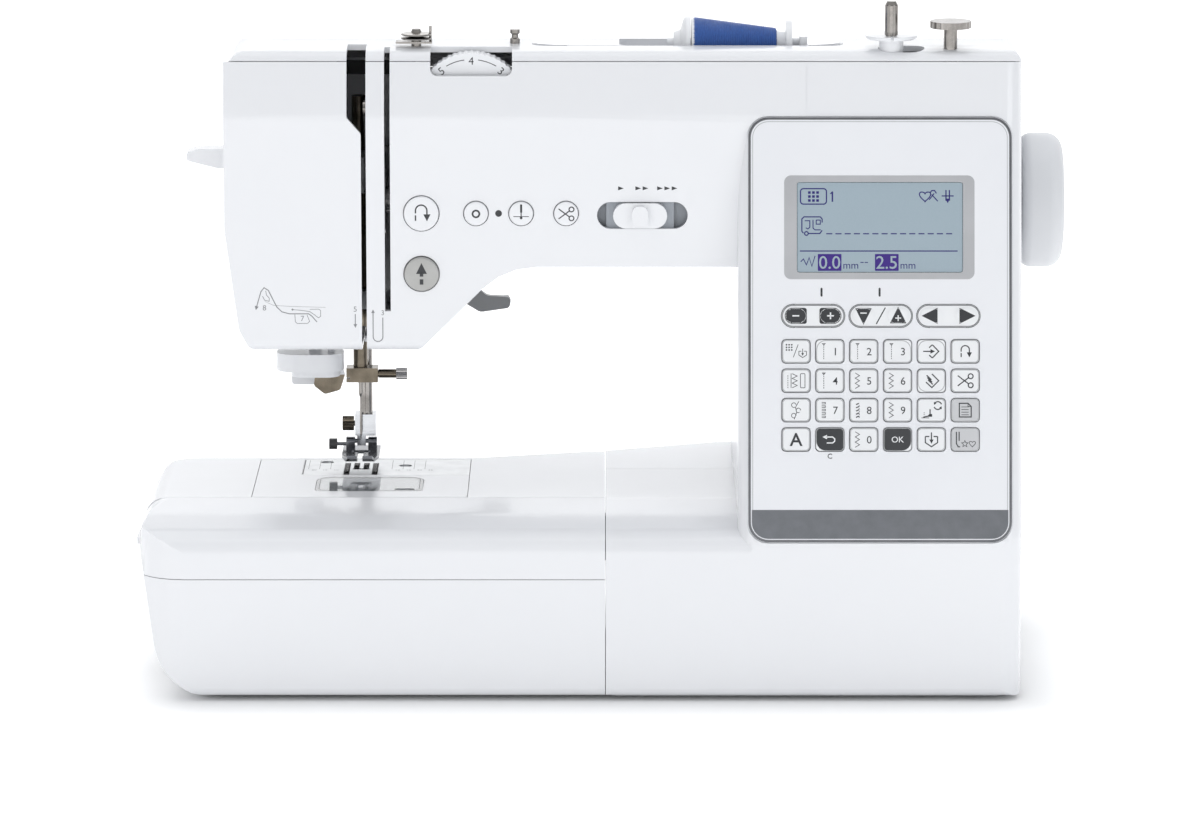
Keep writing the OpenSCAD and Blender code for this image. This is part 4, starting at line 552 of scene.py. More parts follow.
# the handwheel's darker white is painted shade on its side face
skins("base_tray handwheel", TRAY_WHITE_AND_WHEEL_SHADE, "base")
skins("rubber_feet", RUBBER, "rubber")
skins("power_inlet power_switch", SMOKE, "smoke")
print("housing", len(DRESSED))

# %% Buttons, keys and panel
skins("reverse_button reinforce_button needle_button cutter_button tension_dial spool_cap "
      "buttonhole_lever", BUTTON, "buttons")
skins("start_stop_button", START_SILVER, "buttons")
skins("keypad width_rocker length_rocker select_rocker", KEY, "keys")
skins("panel_plate", PANEL, "panel")
print("with the controls", len(DRESSED))

# %% Metal pieces
# where the dark knob beside the foot and the steel knob of the needle clamp begin
FOOT_KNOB_X = middle("needle").x - 11.0
CLAMP_KNOB_X = box_mm("clamp_screw")[1].x - 4.0

skins("housing_screws upper_shaft lower_shaft hook_race motor_pulley feed_dogs", STEEL, "steel")
skins("winder_shaft winder_stop thread_guides presser_bar needle take_up_lever", BAR_STEEL,
      "steel")
skins("foot_holder", CHROME, "chrome")
skin("presser_foot", FOOT_STEEL, "chrome", lambda c: c.x < FOOT_KNOB_X, SMOKE)
skins("foot_screw", BRONZE, "bronze")
skin("clamp_screw", BRONZE, "bronze", lambda c: c.x > CLAMP_KNOB_X, STEEL)
skins("needle_plate", PLATE_STEEL, "steel")
skins("needle_bar", BRONZE, "bronze")
skins("main_frame motor", CAST, "cast")
skins("presser_lever", LEVER_GREY, "smoke")
skins("bobbin_case", SMOKE, "smoke")
skins("bobbin bobbin_cover", CLEAR, "clear")
skins("timing_belt motor_belt", RUBBER, "rubber")
print("with the metal", len(DRESSED))

# %% Display, threader hook and spool
LEAN = math.radians(11.5)
PANEL_FOOT_Y, PANEL_FOOT_Z = -89.0, 70.8
HOOK_TOP_Z, HOOK_Y = box_mm("needle_threader")[0].z + 9.0, 14.6
SPOOL_Y, SPOOL_Z, SPOOL_BORE_R = -18.0, 283.3, 5.0
WOUND_X0 = box_mm("thread_spool")[0].x
WOUND_X1 = WOUND_X0 + 38.0


def panel_depth(p):
    """Depth in millimetres behind the plane of the leaning panel face."""
    return (p.y - PANEL_FOOT_Y) * math.cos(LEAN) - (p.z - PANEL_FOOT_Z) * math.sin(LEAN)


def is_wound(p):
    """Whether a point of the spool lies on its wound part, and not in the bore."""
    return (WOUND_X0 + 1.2 < p.x < WOUND_X1 - 0.2
            and math.hypot(p.y - SPOOL_Y, p.z - SPOOL_Z) > SPOOL_BORE_R)


skin("control_board", BOARD, "board", lambda c: panel_depth(c) < 1.0, DISPLAY)
skin("needle_threader", BUTTON, "buttons",
     lambda c: c.z < HOOK_TOP_Z and abs(c.y - HOOK_Y) < 0.7, BRONZE)
skin("thread_spool", BUTTON, "thread", is_wound, THREAD_BLUE)
print("nodes without a skin", sorted(set(frame["nodes"]) - set(DRESSED)))

# %% [markdown]
# ## Printing
# Every sign is printed: a film of ink a few hundredths of a millimetre thick. A picture
# texture would blur close up and tie the sign to a file. Here each sign is a flat drawing of
# strokes and fills, and the drawing is laid on the surface: every point is shot along the
# viewing line on to the skin below, and lifted by the thickness of the ink.

# %% Points
# height of a figure in lettering of size 1, and how far a sharp corner may reach
FIGURE_HEIGHT, SHARPEST_MITRE = 0.70, 0.45


def on_circle(x, y, r, degrees):
    a = math.radians(degrees)
    return x + r * math.cos(a), y + r * math.sin(a)


def turned(points, x, y, degrees):
    """The points turned about the origin, then moved to x and y."""
    c, s = math.cos(math.radians(degrees)), math.sin(math.radians(degrees))
    return [(x + u * c - v * s, y + u * s + v * c) for u, v in points]


def round_box(x, y, w, h, radii, steps=6):
    """Corner points of a rounded rectangle about x, y; radii is one number or four."""
    if isinstance(radii, (int, float)):
        radii = (radii,) * 4
    sides = ((1, 1), (-1, 1), (-1, -1), (1, -1))
    return [on_circle(x + sx * (w / 2 - r), y + sy * (h / 2 - r), r,
                      90.0 * quarter + 90.0 * i / steps)
            for quarter, ((sx, sy), r) in enumerate(zip(sides, radii)) for i in range(steps + 1)]


def square_to(way):
    return Vector((-way.y, way.x))


# %% Flat drawings
class Drawing:
    """Strokes and fills in a plane, in millimetres, collected as points and faces. They are
    given about the origin, which about() moves."""

    def __init__(self, x=0.0, y=0.0):
        self.points = []
        self.faces = []
        self.about(x, y)

    def about(self, x, y):
        self.origin = (x, y)

    def add(self, points, faces):
        start = len(self.points)
        self.points += [(self.origin[0] + u, self.origin[1] + v) for u, v in points]
        self.faces += [[start + i for i in f] for f in faces]

    def fill(self, points):
        """A convex patch."""
        self.add(points, [list(range(len(points)))])

    def band(self, outer, inner, closed=True):
        """The strip between two outlines that have as many points."""
        count = len(outer)
        self.add(outer + inner, [[i, (i + 1) % count, count + (i + 1) % count, count + i]
                                 for i in range(count if closed else count - 1)])

    def line(self, points, width, closed=False):
        """A mitred stroke along the points."""
        path = [Vector(p) for p in points]
        left, right = [], []
        for i, p in enumerate(path):
            more = closed or i < len(path) - 1
            ahead = path[(i + 1) % len(path)] - p if more else p - path[i - 1]
            behind = p - path[i - 1] if closed or i > 0 else ahead
            into, out = behind.normalized(), ahead.normalized()
            side = square_to(into + out)
            side = side.normalized() if side.length > 1e-6 else square_to(into)
            reach = width / 2 / max(SHARPEST_MITRE, side.dot(square_to(into)))
            left.append(p + side * reach)
            right.append(p - side * reach)
        self.band(right, left, closed)

    def strokes(self, width, *paths):
        for path in paths:
            self.line(path, width)

    def ring(self, x, y, r, width, start=0.0, stop=360.0):
        whole = abs(stop - start) >= 360.0
        steps = max(8, int(abs(stop - start) / 9))
        arc = [on_circle(x, y, r, start + (stop - start) * i / steps) for i in range(steps + 1)]
        self.line(arc[:-1] if whole else arc, width, whole)

    def dot(self, x, y, r):
        self.fill([on_circle(x, y, r, 18.0 * i) for i in range(20)])

    def arrow_head(self, x, y, size, turn):
        tips = [(size * 0.6, 0), (-size * 0.5, size * 0.55), (-size * 0.5, -size * 0.55)]
        self.fill(turned(tips, x, y, turn))

    def text(self, words, x, y, size, bold=0.0, turn=0.0):
        """Plain lettering about x and y, turned by degrees; size is the height of a figure."""
        curve = bpy.data.curves.new("lettering", "FONT")
        curve.body = words
        curve.align_x, curve.align_y = "CENTER", "CENTER"
        curve.size = size / FIGURE_HEIGHT
        curve.offset = bold
        curve.resolution_u = 3
        letters = as_plain_mesh(new_object("lettering", curve), "lettering")
        mesh = letters.data
        heights = [v.co.y for v in mesh.vertices]
        half_way = (min(heights) + max(heights)) / 2
        self.add(turned([(v.co.x, v.co.y - half_way) for v in mesh.vertices], x, y, turn),
                 [list(p.vertices) for p in mesh.polygons])
        bpy.data.objects.remove(letters)
        bpy.data.meshes.remove(mesh)


# %% Laying a drawing on a surface
INK_LIFT, RAY_BACK = 0.03, 12.0
# drawings start in planes clear of the surfaces: in front of the panel and head, over the bed
PANEL_CLEAR, HEAD_PLANE_Y, BED_PLANE_Z = 2.0, -58.0, 90.0
MOST_CUTS = 6
TREES = {}


def surface_tree(node):
    if node not in TREES:
        mesh = DRESSED[node].data
        TREES[node] = BVHTree.FromPolygons([v.co / MM for v in mesh.vertices],
                                           [p.vertices for p in mesh.polygons])
    return TREES[node]


def cut_small(bm, step):
    """Splits edges until none is longer than step, so a wide film can follow a curve."""
    bmesh.ops.triangulate(bm, faces=bm.faces)
    for _ in range(MOST_CUTS):
        long_edges = [e for e in bm.edges if e.calc_length() > step]
        if not long_edges:
            break
        bmesh.ops.subdivide_edges(bm, edges=long_edges, cuts=1)
        bmesh.ops.triangulate(bm, faces=[f for f in bm.faces if len(f.verts) > 3])


def lay(name, drawing, node, finish, side, lift=INK_LIFT, step=None):
    """Makes the drawing a mesh on the skin of a node. side is the rule that turns a flat point
    into one in front of the surface, and the way on to the surface. step is the longest edge
    on a surface that isn't flat. All are in millimetres."""
    place, inward = side[0], Vector(side[1]).normalized()
    tree = surface_tree(node)
    mesh = new_mesh(name, [(*p, 0.0) for p in drawing.points], drawing.faces, finish)
    bm = bmesh.new()
    bm.from_mesh(mesh)
    if step:
        cut_small(bm, step)
    for vert in bm.verts:
        start = Vector(place(vert.co.x, vert.co.y))
        hit = tree.ray_cast(start - inward * RAY_BACK, inward)[0]
        vert.co = ((start if hit is None else hit) - inward * lift) * MM
    bmesh.ops.remove_doubles(bm, verts=bm.verts, dist=THINNEST)
    bm.normal_update()
    for face in bm.faces:
        if face.normal.dot(inward) > 0:
            face.normal_flip()
        face.smooth = True
    bm.to_mesh(mesh)
    bm.free()
    return mounted(new_object(name, mesh), node)


def on_panel(x, s):
    """A point x across and s up the leaning panel, a little in front of it."""
    return (x, PANEL_FOOT_Y + s * math.sin(LEAN) - PANEL_CLEAR * math.cos(LEAN),
            PANEL_FOOT_Z + s * math.cos(LEAN) + PANEL_CLEAR * math.sin(LEAN))


PANEL_SIDE = (on_panel, (0.0, math.cos(LEAN), -math.sin(LEAN)))
HEAD_SIDE = (lambda x, z: (x, HEAD_PLANE_Y, z), (0.0, 1.0, 0.0))
BED_SIDE = (lambda x, y: (x, y, BED_PLANE_Z), (0.0, 0.0, -1.0))
print("drawing tools ready")


# %% [markdown]
# ## Signs that repeat
# Stitches, scissors, arches and hearts come back on several keys. Each is a short function
# that draws itself into a drawing about x and y, so a key only says which it carries.

# %% Small signs
def dashes(d, x, y, length, width, pitch, upright=False, fill=0.6):
    """A row of short strokes that starts at x, y."""
    for i in range(int(length / pitch)):
        a, b = i * pitch, (i + fill) * pitch
        d.line([(x, y + a), (x, y + b)] if upright else [(x + a, y), (x + b, y)], width)


def zigzag(d, x, y, wide, high, turns, width):
    d.line([(x + wide / 2 * (1 if i % 2 else -1), y - high / 2 + high * i / (2 * turns))
            for i in range(2 * turns + 1)], width)


def scissors(d, x, y, size, width):
    for side in (1, -1):
        d.line([(x - size * 0.5, y + side * size * 0.34), (x + size * 0.22, y - side * size * 0.2)],
               width)
        d.ring(x + size * 0.36, y - side * size * 0.3, size * 0.16, width)


def reverse_arch(d, x, y, size, width):
    """An arch with a broken left leg and an arrow down on the right."""
    r, spring = size * 0.3, y + size * 0.12
    d.ring(x, spring, r, width, 0.0, 180.0)
    d.strokes(width, [(x - r, spring), (x - r, y - size * 0.02)],
              [(x - r, y - size * 0.12), (x - r, y - size * 0.42)],
              [(x + r, spring), (x + r, y - size * 0.12)])
    d.arrow_head(x + r, y - size * 0.24, size * 0.34, -90.0)


def heart(d, x, y, size, width):
    turns = [math.tau * i / 28 for i in range(28)]
    rise = [0.406 * math.cos(t) - 0.156 * math.cos(2 * t) - 0.0625 * math.cos(3 * t) for t in turns]
    d.line([(x + size * 0.5 * math.sin(t) ** 3, y + size * up) for t, up in zip(turns, rise)],
           width, True)


def star(d, x, y, size, width):
    d.line([on_circle(x, y, size * (0.22 if i % 2 else 0.5), 90.0 - 36.0 * i)
            for i in range(10)], width, True)


print("signs ready")

# %% [markdown]
# ## Control panel
# The panel is a white film with a silver rim, a silver-grey bar along its foot and a speckled
# frame round the display. All three are prints, because on the real panel they are one film
# with the white.

# %% Rim, foot bar and display frame
PANEL_MID_X, PANEL_MID_S = 121.2, 94.5
PANEL_W, PANEL_H = 116.0, 187.0
BAR_W, BAR_LOW_S, BAR_TOP_S = PANEL_W - 3.4, PANEL_MID_S - PANEL_H / 2 + 1.7, 15.4
LCD_W, LCD_H, LCD_MID_S = 72.6, 39.4, 139.5


def panel_outline(inset, radius):
    """The panel's outline, moved inwards by half the inset."""
    return round_box(0.0, 0.0, PANEL_W - inset, PANEL_H - inset, radius, 10)


for name, finish, outer, inner in (("panel_rim", EDGE_SILVER, (0.3, 8.9), (2.5, 7.8)),
                                   ("panel_rim_line", PALE_INK, (3.9, 7.1), (4.5, 6.8))):
    rim = Drawing(PANEL_MID_X, PANEL_MID_S)
    rim.band(panel_outline(*outer), panel_outline(*inner))
    lay(name, rim, "panel_plate", finish, PANEL_SIDE)

bar_h = BAR_TOP_S - BAR_LOW_S
foot_bar = Drawing(PANEL_MID_X, BAR_LOW_S + bar_h / 2)
foot_bar.fill(round_box(0, 0, BAR_W, bar_h, (0.05, 0.05, 7.2, 7.2), 8))
lay("panel_foot_bar", foot_bar, "panel_plate", BAR_GREY, PANEL_SIDE, 0.045)

frame_print = Drawing(PANEL_MID_X, LCD_MID_S)
frame_print.band(round_box(-0.3, 0.0, 83.6, 45.6, 3.0),
                 round_box(0.0, 0.0, LCD_W + 0.5, LCD_H + 0.5, 1.2))
lay("display_frame", frame_print, "panel_plate", BEZEL, PANEL_SIDE)
print("foot bar", round(bar_h, 1), "mm high")

# %% [markdown]
# ## Display
# The display shows the chosen stitch: its number, the foot to use, a sample line, and the
# width and length. Dark figures stand on the pale glass, and the two values stand in pale
# figures on dark boxes, so the boxes come first and their figures a hair further out.

# %% Display figures
screen, values_box, values = Drawing(), Drawing(), Drawing()
VALUES = {99.1: "0.0", 124.2: "2.5"}
VALUE_S = 124.1

# top row: the sign of the stitch table, the stitch's number, a heart and two needles
screen.line(round_box(92, 153.1, 11.4, 6.8, 1.3), 0.55, True)
for column in range(3):
    for row in range(3):
        screen.fill(round_box(90.2 + 1.8 * column, 151.3 + 1.75 * row, 1.2, 1.15, 0.1, 1))
screen.text("1", 100.3, 153, 4.6, 0.02)
screen.line([(99.4, 154.2), (100.3, 155)], 0.5)
heart(screen, 141, 153.3, 5, 0.5)
screen.line([(143.2, 154.6), (143.9, 155.6), (145.2, 155.7), (146, 154.4)], 0.5)
screen.line([(142.8, 151.6), (145, 154.4)], 0.45)
screen.strokes(0.5, [(143.9, 153.9), (146.6, 151)], [(148.3, 153.3), (153.6, 153.3)])
screen.strokes(0.55, [(150.2, 151.2), (150.2, 155.9)], [(151.7, 151.2), (151.7, 155.9)])
screen.arrow_head(150.95, 151.2, 1.9, -90)
# presser foot sign in its frame
screen.line([(87.6, 136.9), (86.9, 137.8), (86.9, 143.2), (87.8, 144.1), (95, 144.1),
             (95.8, 143.2), (95.8, 141.6)], 0.5)
screen.ring(88.9, 136.8, 0.8, 0.5)
screen.line([(89.8, 136.8), (94.8, 136.8), (95.8, 138.2)], 0.5)
screen.strokes(0.42, [(88.2, 142.4), (90.4, 142.4), (90.4, 139.6), (89.6, 138.8), (88.6, 139.3)],
               [(91.8, 142.8), (91.8, 139.2), (92.6, 138.4), (95.2, 138.4)],
               [(93.2, 142.7), (95, 142.7), (95, 140.9), (93.2, 140.9), (93.2, 142.7)])
# the sample stitch, the rule under it and the sign for the stitch width
dashes(screen, 97.6, 136.7, 57.5, 0.5, 4.05, fill=0.66)
screen.line([(86, 129.1), (155.3, 129.1)], 0.5)
screen.line([(86.4, 124.4), (87.6, 125.6), (88.9, 123), (90.1, 126.2), (91.3, 122.4),
             (92.7, 127.0)], 0.4)
for x, value in VALUES.items():
    values_box.fill(round_box(x, VALUE_S, 10.4, 7.4, 0.2, 1))
    values.text(value, x, VALUE_S, 5.6, 0.03)
    screen.text("mm", x + 9.3, 122.4, 3.2)
dashes(screen, 112.6, VALUE_S, 5.6, 0.4, 1.9, fill=0.75)
lay("display_figures", screen, "control_board", DISPLAY_INK, PANEL_SIDE)
lay("display_value_boxes", values_box, "control_board", DISPLAY_VIOLET, PANEL_SIDE)
lay("display_values", values, "control_board", DISPLAY, PANEL_SIDE, 2 * INK_LIFT)
print("display points", len(screen.points))

# %% [markdown]
# ## Rockers and ticks
# Three rockers stand under the display: width, length and choice. Each carries its two signs
# on raised pads inside a printed outline, and two ticks tie the first two to their values.

# %% Rocker signs
ROCKERS = {"width_rocker": 91.8, "length_rocker": 121.5, "select_rocker": 151.2}
ROCKER_S, PAD_X = 100.6, 7.6

ticks = Drawing()
for x in (95.5, 121.0):
    ticks.fill(round_box(x, 111.0, 0.9, 3.9, 0.4, 3))
lay("value_ticks", ticks, "panel_plate", INK, PANEL_SIDE)

for node, x in ROCKERS.items():
    outline, dark, pale = (Drawing(x, ROCKER_S) for _ in range(3))
    outline.line(round_box(0, 0, 27, 9.2, 4.59, 10), 0.45, True)
    lay(node + "_outline", outline, node, GREY_INK, PANEL_SIDE)
    if node == "width_rocker":
        dark.fill(round_box(-PAD_X, 0, 9.6, 7, (1, 3.4, 3.4, 1), 8))
        dark.fill(round_box(PAD_X, 0, 9.6, 7, (3.4, 1, 1, 3.4), 8))
        pale.strokes(0.6, [(-PAD_X - 1.5, 0), (-PAD_X + 1.5, 0)],
                     [(PAD_X - 1.5, 0), (PAD_X + 1.5, 0)], [(PAD_X, -1.5), (PAD_X, 1.5)])
    elif node == "length_rocker":
        dark.arrow_head(-PAD_X, 0, 6.6, -90)
        dark.arrow_head(PAD_X, 0, 6.6, 90)
        dark.line([(-2, -3.6), (2, 3.6)], 0.5)
        pale.strokes(0.5, [(-PAD_X - 1.4, 1.2), (-PAD_X + 1.4, 1.2)],
                     [(PAD_X - 1.3, -1), (PAD_X + 1.3, -1)], [(PAD_X, -2.3), (PAD_X, 0.3)])
    else:
        dark.arrow_head(-PAD_X - 0.4, 0, 6.4, 180)
        dark.arrow_head(PAD_X + 0.4, 0, 6.4, 0)
    lay(node + "_signs", dark, node, INK, PANEL_SIDE, step=0.5)
    if pale.points:
        lay(node + "_marks", pale, node, KEY, PANEL_SIDE, 4 * INK_LIFT, step=0.5)
print("rockers", list(ROCKERS))

# %% [markdown]
# ## Keys
# Twenty-four rubber keys stand in four rows. Most are white with a grey outline; two are
# black and two are grey. The second, third and fourth columns carry the ten figures beside a
# small picture of a stitch. Tables say what each key carries, and one loop draws them all.

# %% Key signs
KEY_X0, KEY_S0 = 84.3, 46.3
KEY_DX, KEY_DS = 14.85, 12.9
KEY_W, KEY_H = 12.1, 10.0
FIGURES = {(1, 3): "1", (2, 3): "2", (3, 3): "3", (1, 2): "4", (2, 2): "5", (3, 2): "6",
           (1, 1): "7", (2, 1): "8", (3, 1): "9", (2, 0): "0"}
STRAIGHT = {(1, 3), (2, 3), (3, 3), (1, 2)}
# radii of the four corners of a key, from the upper right anticlockwise
ROUNDED = {(1, 3): (1.6, 4.0, 1.6, 1.6), (3, 3): (4.0, 1.6, 1.6, 1.6),
           (4, 3): (3.6, 3.6, 1.6, 1.6), (4, 2): (1.6, 1.6, 3.6, 3.6),
           (1, 0): (1.6, 1.6, 4.0, 1.6), (3, 0): (1.6, 1.6, 1.6, 4.0)}
BLACK_KEYS, GREY_KEYS = {(1, 0), (3, 0)}, {(5, 0), (5, 1)}
FINE, LINE = 0.28, 0.5


def key_middle(column, row):
    return KEY_X0 + KEY_DX * column, KEY_S0 + KEY_DS * row


def pocket(d, x, s, size, width):
    """A pocket seen from the front, with a needle over it."""
    w, top = size * 0.42, s + size * 0.24
    d.strokes(width, [(x - w, top), (x - w, s - size * 0.18), (x, s - size * 0.46),
                      (x + w, s - size * 0.18), (x + w, top)],
              [(x - w, top), (x - w * 0.35, top)], [(x + w * 0.35, top), (x + w, top)],
              [(x, s + size * 0.52), (x, s - size * 0.1)])
    d.arrow_head(x, s - size * 0.1, size * 0.26, -90)


def stitch_sign(d, key):
    if key in STRAIGHT:
        dashes(d, -2.7, -3.4, 6.4, FINE, 1, upright=True)
        d.strokes(FINE, [(-3.5, 3.4), (-1.9, 3.4)], [(-3.2, 3.4), (-2.7, 2.6), (-2.2, 3.4)])
    elif key == (1, 1):
        for s in (-3.3, -1.8, -0.3, 1.2, 2.7):
            d.line([(-3.6, s), (-2, s), (-2, s + 0.7), (-3.6, s + 0.7)], FINE)
    elif key == (2, 1):
        for s in (-3.2, -1.8, -0.4, 1.0, 2.4):
            d.line([(-3.4, s), (-2.1, s + 0.6)], LINE)
        dashes(d, -2, -3.4, 6.6, FINE, 1.2, upright=True)
    else:
        zigzag(d, -2.8, 0, 1.9, 6.8, 3, FINE)


def stitch_table_sign(d):
    for i in range(3):
        for j in range(3):
            d.dot(-4.2 + 1.15 * i, 0.6 + 1.15 * j, 0.36)
    d.line([(-1.2, -2.6), (0.9, 3)], FINE)
    pocket(d, 2.9, -0.9, 4, FINE)


def step_in_sign(d):
    d.strokes(LINE, [(0.4, 2.9), (3.2, 0), (0.4, -2.9)], [(0.4, 2.9), (-1, 1.6)],
              [(0.4, -2.9), (-1, -1.6)], [(-3.6, 0), (0.2, 0)])
    d.arrow_head(0.5, 0, 1.8, 0)


def stitch_kinds_sign(d):
    dashes(d, -3.6, -3.2, 6.4, FINE, 1, upright=True)
    zigzag(d, -0.6, 0, 2.2, 6.2, 3, FINE)
    d.line([(-2.2, -3.2), (-2.2, 3.2)], FINE)
    d.line(round_box(2.9, 0, 2, 6.2, 0.3, 2), FINE, True)


def mending_sign(d):
    d.line([(0.2, 3), (3.2, 0), (0.2, -3), (-2.4, -0.6)], LINE)
    for i in (-1, 0, 1):
        d.line([(-1.8 + i * 0.3, 1.4 - i), (0.3 + i * 0.3, -0.6 - i)], LINE)


def scroll_sign(d):
    for i, side in enumerate((-1, 1, -1)):
        d.ring(side, -2.4 + 2.3 * i, 1, FINE, 0, 300)
    d.line([(-0.8, -4), (0.3, -1), (-0.3, 1.2), (1.2, 3.8)], FINE)


def foot_change_sign(d):
    d.line([(-4.4, -3.4), (-1, -3.4)], FINE)
    d.line([(-0.6, 0.4), (-0.6, -2.4), (-3.6, -3.1)], LINE)
    d.fill([(-2, -2.9), (0.3, -2.9), (0.3, -1.7), (-0.9, -1.7)])
    dashes(d, -3.2, -2.2, 2.2, FINE, 0.8, upright=True)
    for start in (20.0, 200.0):
        d.ring(2.8, 2, 1.7, LINE, start, start + 130)
    d.arrow_head(1.4, 3.1, 1.1, 120)
    d.arrow_head(4.2, 0.9, 1.1, -60)


def page_sign(d):
    d.line([(-2.6, -3), (2.6, -3), (2.6, 1.6), (1.2, 3), (-2.6, 3)], LINE, True)
    d.line([(1.2, 3), (1.2, 1.6), (2.6, 1.6)], FINE)
    d.strokes(FINE, *([(-1.7, 1.4 - 1.15 * i), (1.5, 1.4 - 1.15 * i)] for i in range(4)))


def favourites_sign(d):
    d.strokes(LINE, [(-3.9, 3.4), (-3.9, -1.8), (-3.1, -3.2), (-2.3, -3.2)],
              [(-2.7, 3.4), (-2.7, -0.6)])
    star(d, -0.2, -1.9, 3, FINE)
    heart(d, 3.1, -1.8, 2.8, FINE)


def return_sign(d):
    d.line([(-2, 1.1), (1.2, 1.1), (2.1, 0.3), (2.1, -0.7), (1.2, -1.5), (-1.4, -1.5)], 0.5)
    d.arrow_head(-2.2, 1.1, 1.8, 180)


SIGNS = {(0, 3): stitch_table_sign, (4, 3): step_in_sign, (0, 2): stitch_kinds_sign,
         (4, 2): mending_sign, (0, 1): scroll_sign, (4, 1): foot_change_sign,
         (5, 1): page_sign, (5, 0): favourites_sign, (1, 0): return_sign,
         (5, 3): lambda d: reverse_arch(d, 0, 0, 6, LINE),
         (5, 2): lambda d: scissors(d, 0, 0, 6.6, LINE),
         (4, 0): lambda d: pocket(d, 0, -0.2, 6.4, LINE),
         (0, 0): lambda d: d.text("A", 0, 0, 5.6, 0.12),
         (3, 0): lambda d: d.text("OK", 0, 0, 2.6, 0.015)}
print("signs for", len(SIGNS) + len(FIGURES), "keys")

# %% Draw the keys
outlines, signs, black, grey_fill, pale_signs = (Drawing() for _ in range(5))
for column in range(6):
    for row in range(4):
        key = (column, row)
        for drawing in (outlines, signs, black, grey_fill, pale_signs):
            drawing.about(*key_middle(*key))
        corners = ROUNDED.get(key, 1.7)
        outlines.line(round_box(0, 0, KEY_W - 0.5, KEY_H - 0.5, corners), 0.4, True)
        if key in BLACK_KEYS:
            black.fill(round_box(0, 0, KEY_W - 0.4, KEY_H - 0.4, corners))
        if key in GREY_KEYS:
            grey_fill.fill(round_box(0, 0, KEY_W - 0.7, KEY_H - 0.7, corners))
        if key in FIGURES:
            signs.text(FIGURES[key], 2.4, -0.1, 3.3, 0.01)
            stitch_sign(signs, key)
        else:
            SIGNS[key](pale_signs if key in BLACK_KEYS else signs)
KEY_PRINTS = (("key_outlines", outlines, PALE_INK, 0.0), ("black_keys", black, INK, 0.01),
              ("grey_keys", grey_fill, GREY_KEY, -0.005), ("key_signs", signs, INK, 0.01),
              ("pale_key_signs", pale_signs, KEY, 0.03))
for name, drawing, finish, more in KEY_PRINTS:
    lay(name, drawing, "keypad", finish, PANEL_SIDE, INK_LIFT + more)
under_key = Drawing(*key_middle(1, 0))
under_key.text("C", 0, -7.3, 2.2, 0.04)
lay("return_key_letter", under_key, "panel_plate", INK, PANEL_SIDE)
print("key signs", len(signs.faces), "faces")

# %% [markdown]
# ## Signs on the head
# Five round buttons carry one sign and one ring each. Marks for slow, medium and fast stand
# over the speed slide, and the steps of threading stand beside the slots. All are thin grey or
# black strokes.

# %% Button signs
def start_arrow(d):
    d.arrow_head(0, 2.4, 4.4, 90)
    d.strokes(1.6, [(0, 1.2), (0, -1)], [(0, -2.2), (0, -4.6)])


def needle_sign(d):
    d.line([(0, 4), (0, -2.4)], 0.45)
    d.line([(0, 4.2), (0, 0.6)], 0.9)
    d.line([(-3.4, -1.2), (3.4, -1.2)], 0.32)
    d.dot(0, -1.8, 0.6)


BUTTON_SIGNS = {"reverse_button": lambda d: reverse_arch(d, 0.0, 0.4, 8.4, 0.62),
                "start_stop_button": start_arrow,
                "reinforce_button": lambda d: d.ring(0.0, 0.0, 1.5, 0.8),
                "needle_button": needle_sign,
                "cutter_button": lambda d: scissors(d, 0.0, 0.0, 6.6, 0.5)}
for node, draw in BUTTON_SIGNS.items():
    sign = Drawing(middle(node).x, middle(node).z)
    draw(sign)
    lay(node + "_sign", sign, node, INK, HEAD_SIDE, step=0.6)
for node in BUTTON_SIGNS:
    edge = Drawing(middle(node).x, middle(node).z)
    edge.ring(0, 0, box_mm(node)[1].x - middle(node).x - 0.45, 0.3)
    lay(node + "_edge", edge, node, GREY_INK, HEAD_SIDE)
print("button signs", len(BUTTON_SIGNS))

# %% Speed marks
SPEED_MARK_Z = 223.4
marks = Drawing()
for group_x, count in ((7.4, 1), (15.0, 2), (24.6, 3)):
    for i in range(count):
        marks.about(group_x + 3.2 * i, SPEED_MARK_Z)
        marks.fill([(1.3, 0), (-1.2, 0.9), (-1.2, -0.9)])
between = (middle("reinforce_button") + middle("needle_button")) / 2
marks.about(between.x, middle("needle_button").z)
marks.dot(0, 0, 1.5)
lay("speed_marks", marks, "front_cover", INK, HEAD_SIDE)
print("speed marks", len(marks.faces))

# %% Threading steps
steps = Drawing()
steps.text("5", -109.9, 169.4, 2.4)
steps.line([(-109.9, 167.2), (-109.9, 162.4)], 0.4)
steps.arrow_head(-109.9, 161.9, 1.5, -90)
steps.line([(-153.4, 170.6), (-151.5, 177.2), (-150.1, 179), (-148.2, 177.8), (-146.3, 173.9),
            (-144.5, 170.3), (-142.3, 168.2), (-139, 167.3), (-130.5, 167.3), (-129, 166.2),
            (-126.8, 163.6)], 0.42)
steps.arrow_head(-153.6, 169.9, 1.6, -104)
steps.line([(-149.4, 177.6), (-149, 175.6), (-147.8, 174.3), (-147.9, 172.9), (-149.9, 173.4),
            (-150.8, 175.2)], 0.28)
steps.line([(-149.8, 172.9), (-146, 171.1), (-138, 170.6), (-123, 170.2)], 0.14)
steps.dot(-137.6, 169.2, 0.45)
steps.strokes(0.26, [(-137.6, 169.2), (-133.4, 168.8), (-130, 168.3), (-128.1, 167),
                     (-126.2, 165.5), (-125.2, 166.2), (-125.2, 168.8), (-126.1, 169.4),
                     (-130, 169.3)],
              [(-136.6, 167), (-136.4, 163.7), (-135.6, 163), (-131, 163),
               (-130.1, 163.9), (-131.2, 166.8)])
steps.text("8", -150, 170, 2.4)
steps.text("7", -133.3, 165.2, 2.4)
lay("threading_steps", steps, "face_plate", GREY_INK, HEAD_SIDE)

